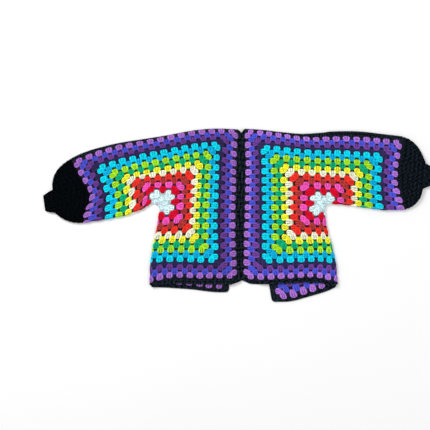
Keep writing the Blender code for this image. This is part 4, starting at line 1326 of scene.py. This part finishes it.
def make_front_band(half):
    """A straight band along the open front, with a rounded corner at the hem.

    There its width is least + (1 - least) * root of (1 - (share of the corner) ^ power).
    """
    neck, hem = (np.array(corner[half], float) for corner in (FRONT_NECK, FRONT_HEM))
    run = unit(hem - neck)
    middle = np.array([-run[1], run[0]])
    middle = middle * (1 if (middle[0] > 0) == (half == "left") else -1)
    start, end = neck + run * FRONT_BAND_START, hem + run * HEM_BAND_FRONT[half]
    length = np.linalg.norm(end - start)
    stitches = round(length / STITCH)
    places, line_lift = stitch_lines(stitches)
    share_down = places / stitches
    corner = np.clip(1 - (1 - share_down) * length / FRONT_CORNER, 0, 1)
    width = FRONT_BAND_NECK + (FRONT_BAND_HEM[half] - FRONT_BAND_NECK) * share_down
    width = width * (CORNER_LEAST + (1 - CORNER_LEAST) * np.sqrt(1 - corner ** CORNER_POWER))

    def grid(share, level, out):
        offset = share * (width - EDGE_ROUNDING + UNDERLAP)[None, :] - UNDERLAP + out
        plan = start + run * (share_down * length)[None, :, None] + middle * offset[..., None]
        level = level - np.sign(level) * tuck(offset)
        return np.concatenate([plan, np.maximum(LOW_MIDDLE - level, 0.0)[..., None]], axis=-1)

    band = band_shell(f"front_edging_{half}", grid, FRONT_ROWS, line_lift)
    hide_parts(f"front_band_{half}")
    return paint_black_with_ridge_light(band)


front_bands = {half: make_front_band(half) for half in ("left", "right")}

# %% [markdown]
# Along the shoulders and the tops of the sleeves a rope of black stitches closes the back to the
# front.  It is narrow at the neck and swells to a broad strip on the right sleeve.  Its profile
# is a half-round bead on a flat strip, open by a slot between the two layers.

# %% Shoulder joins
SHOULDER_RIMS = {            # share of the way from the sleeve end to the neck, and width there
    "left": ([0.00, 0.06, 0.12, 0.25, 0.40, 0.50, 0.60, 0.80, 1.00],
             [10.0, 12.0, 11.5, 8.5, 5.5, 4.5, 3.5, 3.5, NECK_RIM]),
    "right": ([0.00, 0.06, 0.25, 0.40, 0.46, 0.60, 0.70, 0.80, 1.00],
              [14.5, 16.0, 17.8, 17.5, 17.5, 11.5, 7.5, 4.5, NECK_RIM]),
}
PATH_STEPS = 200             # for measuring the length of the last round
FLAT_LINES = 4               # lines over each flat face, and twice as many round the bead
FIRST_ROW = 1.5              # the first row starts this far inside the strip
BEAD_SWELL = 0.6             # the bead stands this much proud of its half round
SLOT_REACH = 0.45            # the slot between the layers reaches this share of the flat strip
SLOT_LEAST = 0.8
SLOT_WALL = 0.5              # and narrows by this much at each side


def row_wave(distance):
    """Lift of a row at a distance across it, read from ROW_LIFT and closed at each row's end."""
    place = (distance / ROW) % 1.0 * 4
    return np.interp(place, [0, 1, 2, 3, 4], [*ROW_LIFT, ROW_LIFT[0]])


def make_shoulder_join(half):
    """A bead along the last round, from the sleeve end to the neck.

    Its lines go over the upper flat face, half round the bead and back under the lower face, then
    along both sides of the slot.
    """
    fine = np.linspace(0, 1, PATH_STEPS)
    edge = flat_plan(half, "shoulder_back", fine, 0 * fine + ROUNDS)
    reach = np.concatenate([[0], np.cumsum(np.linalg.norm(np.diff(edge, axis=0), axis=-1))])
    stitches = round(reach[-1] / STITCH)
    places, line_lift = stitch_lines(stitches)
    share = np.interp(places / stitches * reach[-1], reach, fine)
    plan = flat_plan(half, "shoulder_back", share, 0 * share + ROUNDS)
    run = unit(np.gradient(plan, axis=0))
    outward = np.stack([-run[:, 1], run[:, 0]], -1)
    outward = outward * np.where(outward[:, 1:] < 0, -1, 1)
    width = np.interp(share, *SHOULDER_RIMS[half])
    top = STACK - EDGE_ROLL
    bead = np.minimum(width, TURN_OUT)
    flat = width - bead
    lines = np.arange(4 * FLAT_LINES + 1)[:, None]
    angle = math.pi * np.clip((lines - FLAT_LINES) / (2 * FLAT_LINES), 0, 1)
    upper, lower = lines < FLAT_LINES, lines > 3 * FLAT_LINES
    on_bead = ~(upper | lower)
    level = np.where(upper, top, np.where(lower, 0.0, top / 2 + top / 2 * np.cos(angle)))
    start = -UNDERLAP
    steps = np.where(upper, lines / FLAT_LINES, np.where(lower, 4 - lines / FLAT_LINES, 1.0))
    offset = start + steps * (flat - start) + np.where(on_bead, bead * np.sin(angle), 0)
    rise = STITCH_RELIEF * (row_wave(offset - start + FIRST_ROW) * line_lift - 1.0)
    normal_up = np.where(on_bead, np.cos(angle), np.where(upper, 1.0, -1.0))
    offset = offset + (rise + BEAD_SWELL) * np.where(on_bead, np.sin(angle), 0.0)
    level = np.maximum(level + (rise - tuck(offset)) * normal_up, 0.0)
    slot = np.array([0.0, SLOT_REACH, SLOT_REACH, 0.0])[:, None] * np.maximum(flat, SLOT_LEAST) + start
    slot_level = np.array([WALL, WALL + SLOT_WALL, STACK - WALL - SLOT_WALL, STACK - WALL])[:, None]
    offset = np.concatenate([offset, slot])
    level = np.concatenate([level, slot_level + 0 * slot])
    points = np.concatenate([plan[None] + outward[None] * offset[..., None], level[..., None]], -1)
    join = closed_strip(f"shoulder_edging_{half}", points)
    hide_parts(f"shoulder_join_{half}")
    return paint_black_with_ridge_light(join)


shoulder_joins = {half: make_shoulder_join(half) for half in ("left", "right")}

# %% [markdown]
# Down the middle of the back the two edgings meet: two rows on each side, a groove between
# them, and a V where they part at the neck and at the hem.

# %% Centre-back join
JOIN_STEPS = 16              # steps from one hexagon to the other
GROOVE_DEPTH = 1.2
GROOVE_WIDTH = 1.2           # in steps
NOTCH_NECK = 12.0            # depth of the V at the neck
NOTCH_HEM = 4.6              # depth of the V at the hem
NOTCH_NECK_ACROSS = 0.5      # where its point lies, as a share of the join's width
NOTCH_HEM_ACROSS = 0.75
NOTCH_POWER = 1.5            # above 1 the shoulders of the V are rounded
NOTCH_SHARE = 0.1            # the rows bend towards a V over this share of the length


def notch_depth(across, point):
    """1 at the V's point and 0 at both sides of the join."""
    return np.minimum(across / point, (1 - across) / (1 - point)) ** NOTCH_POWER


def make_centre_join():
    """A closed strip between the last rounds of the two hexagons, sunk along its middle.

    Its lines run from one hexagon to the other over the top and back underneath.  Towards an end
    the middle lines draw back, as far as their share of the way in, so that the end is a V.
    """
    neck, hem = (ring_point("left", name, ROUNDS) for name in ("neck", "hem"))
    length = neck[1] - hem[1]
    stitches = round((length + NECK_RIM + HEM_BAND_CENTRE["left"]) / STITCH)
    places, line_lift = stitch_lines(stitches)
    down = places / stitches
    near_neck, near_hem = (1 - down / NOTCH_SHARE).clip(0), (1 - (1 - down) / NOTCH_SHARE).clip(0)
    edges = []
    for half, outward in (("left", -1), ("right", 1)):
        edge = flat_plan(half, "centre_back", down, 0 * down + ROUNDS)
        reach = NECK_RIM * near_neck - HEM_BAND_CENTRE[half] * near_hem
        edges.append(edge + np.stack([outward * UNDERLAP + 0 * down, reach], -1))
    lines = np.arange(JOIN_STEPS + 1)
    across, from_side = lines / JOIN_STEPS, np.minimum(lines, JOIN_STEPS - lines)
    plan = edges[0] + (edges[1] - edges[0]) * across[:, None, None]
    plan[..., 1] += NOTCH_HEM * notch_depth(across, NOTCH_HEM_ACROSS)[:, None] * near_hem
    plan[..., 1] -= NOTCH_NECK * notch_depth(across, NOTCH_NECK_ACROSS)[:, None] * near_neck
    lift = ROW_LIFT[from_side % 4][:, None] * line_lift[None, :]
    groove = GROOVE_DEPTH * np.exp(-((lines - JOIN_STEPS / 2) / GROOVE_WIDTH) ** 2)[:, None]
    to_side = from_side[:, None] / JOIN_STEPS * (edges[1] - edges[0])[None, :, 0]
    upper = STACK - sag(plan) - groove + STITCH_RELIEF * (lift - 1.0) - tuck(to_side - UNDERLAP)
    lower = STACK - WALL - sag(plan)
    top = np.concatenate([plan, upper[..., None]], -1)
    under = np.concatenate([plan, lower[..., None]], -1)
    points = np.concatenate([top, under[::-1]])
    rows, columns = points.shape[:2]
    faces = grid_faces(rows, columns, closed_rows=True)
    line = lines[:-1]
    corners = np.stack([line, line + 1, rows - 2 - line, rows - 1 - line], -1) * columns
    caps = np.concatenate([corners, (corners + columns - 1)[:, ::-1]])
    strand = grid_strand(rows, columns, *BLACK_YARN_STEP, closed_rows=True)
    strand = np.concatenate([strand[:, ::-1], np.zeros((4 * len(caps), 2))])
    join = make_mesh("centre_back_edging", points.reshape(-1, 3), [faces, caps], strand)
    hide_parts("centre_back_join")
    return paint_black_with_ridge_light(join)


centre_join = make_centre_join()

# %% [markdown]
# ## What each cloth was cut to
# Crochet is not cut, but each piece still has a flat size: what it would measure opened out.
# A hexagon with six square corners equals one and a half squares of its own side, and the flat
# size of a sleeve end or a cuff is its way all round by its length.

for half in ("left", "right"):
    edging = [hem_bands[half], front_bands[half], shoulder_joins[half]]
    edging += [centre_join] if half == "left" else []
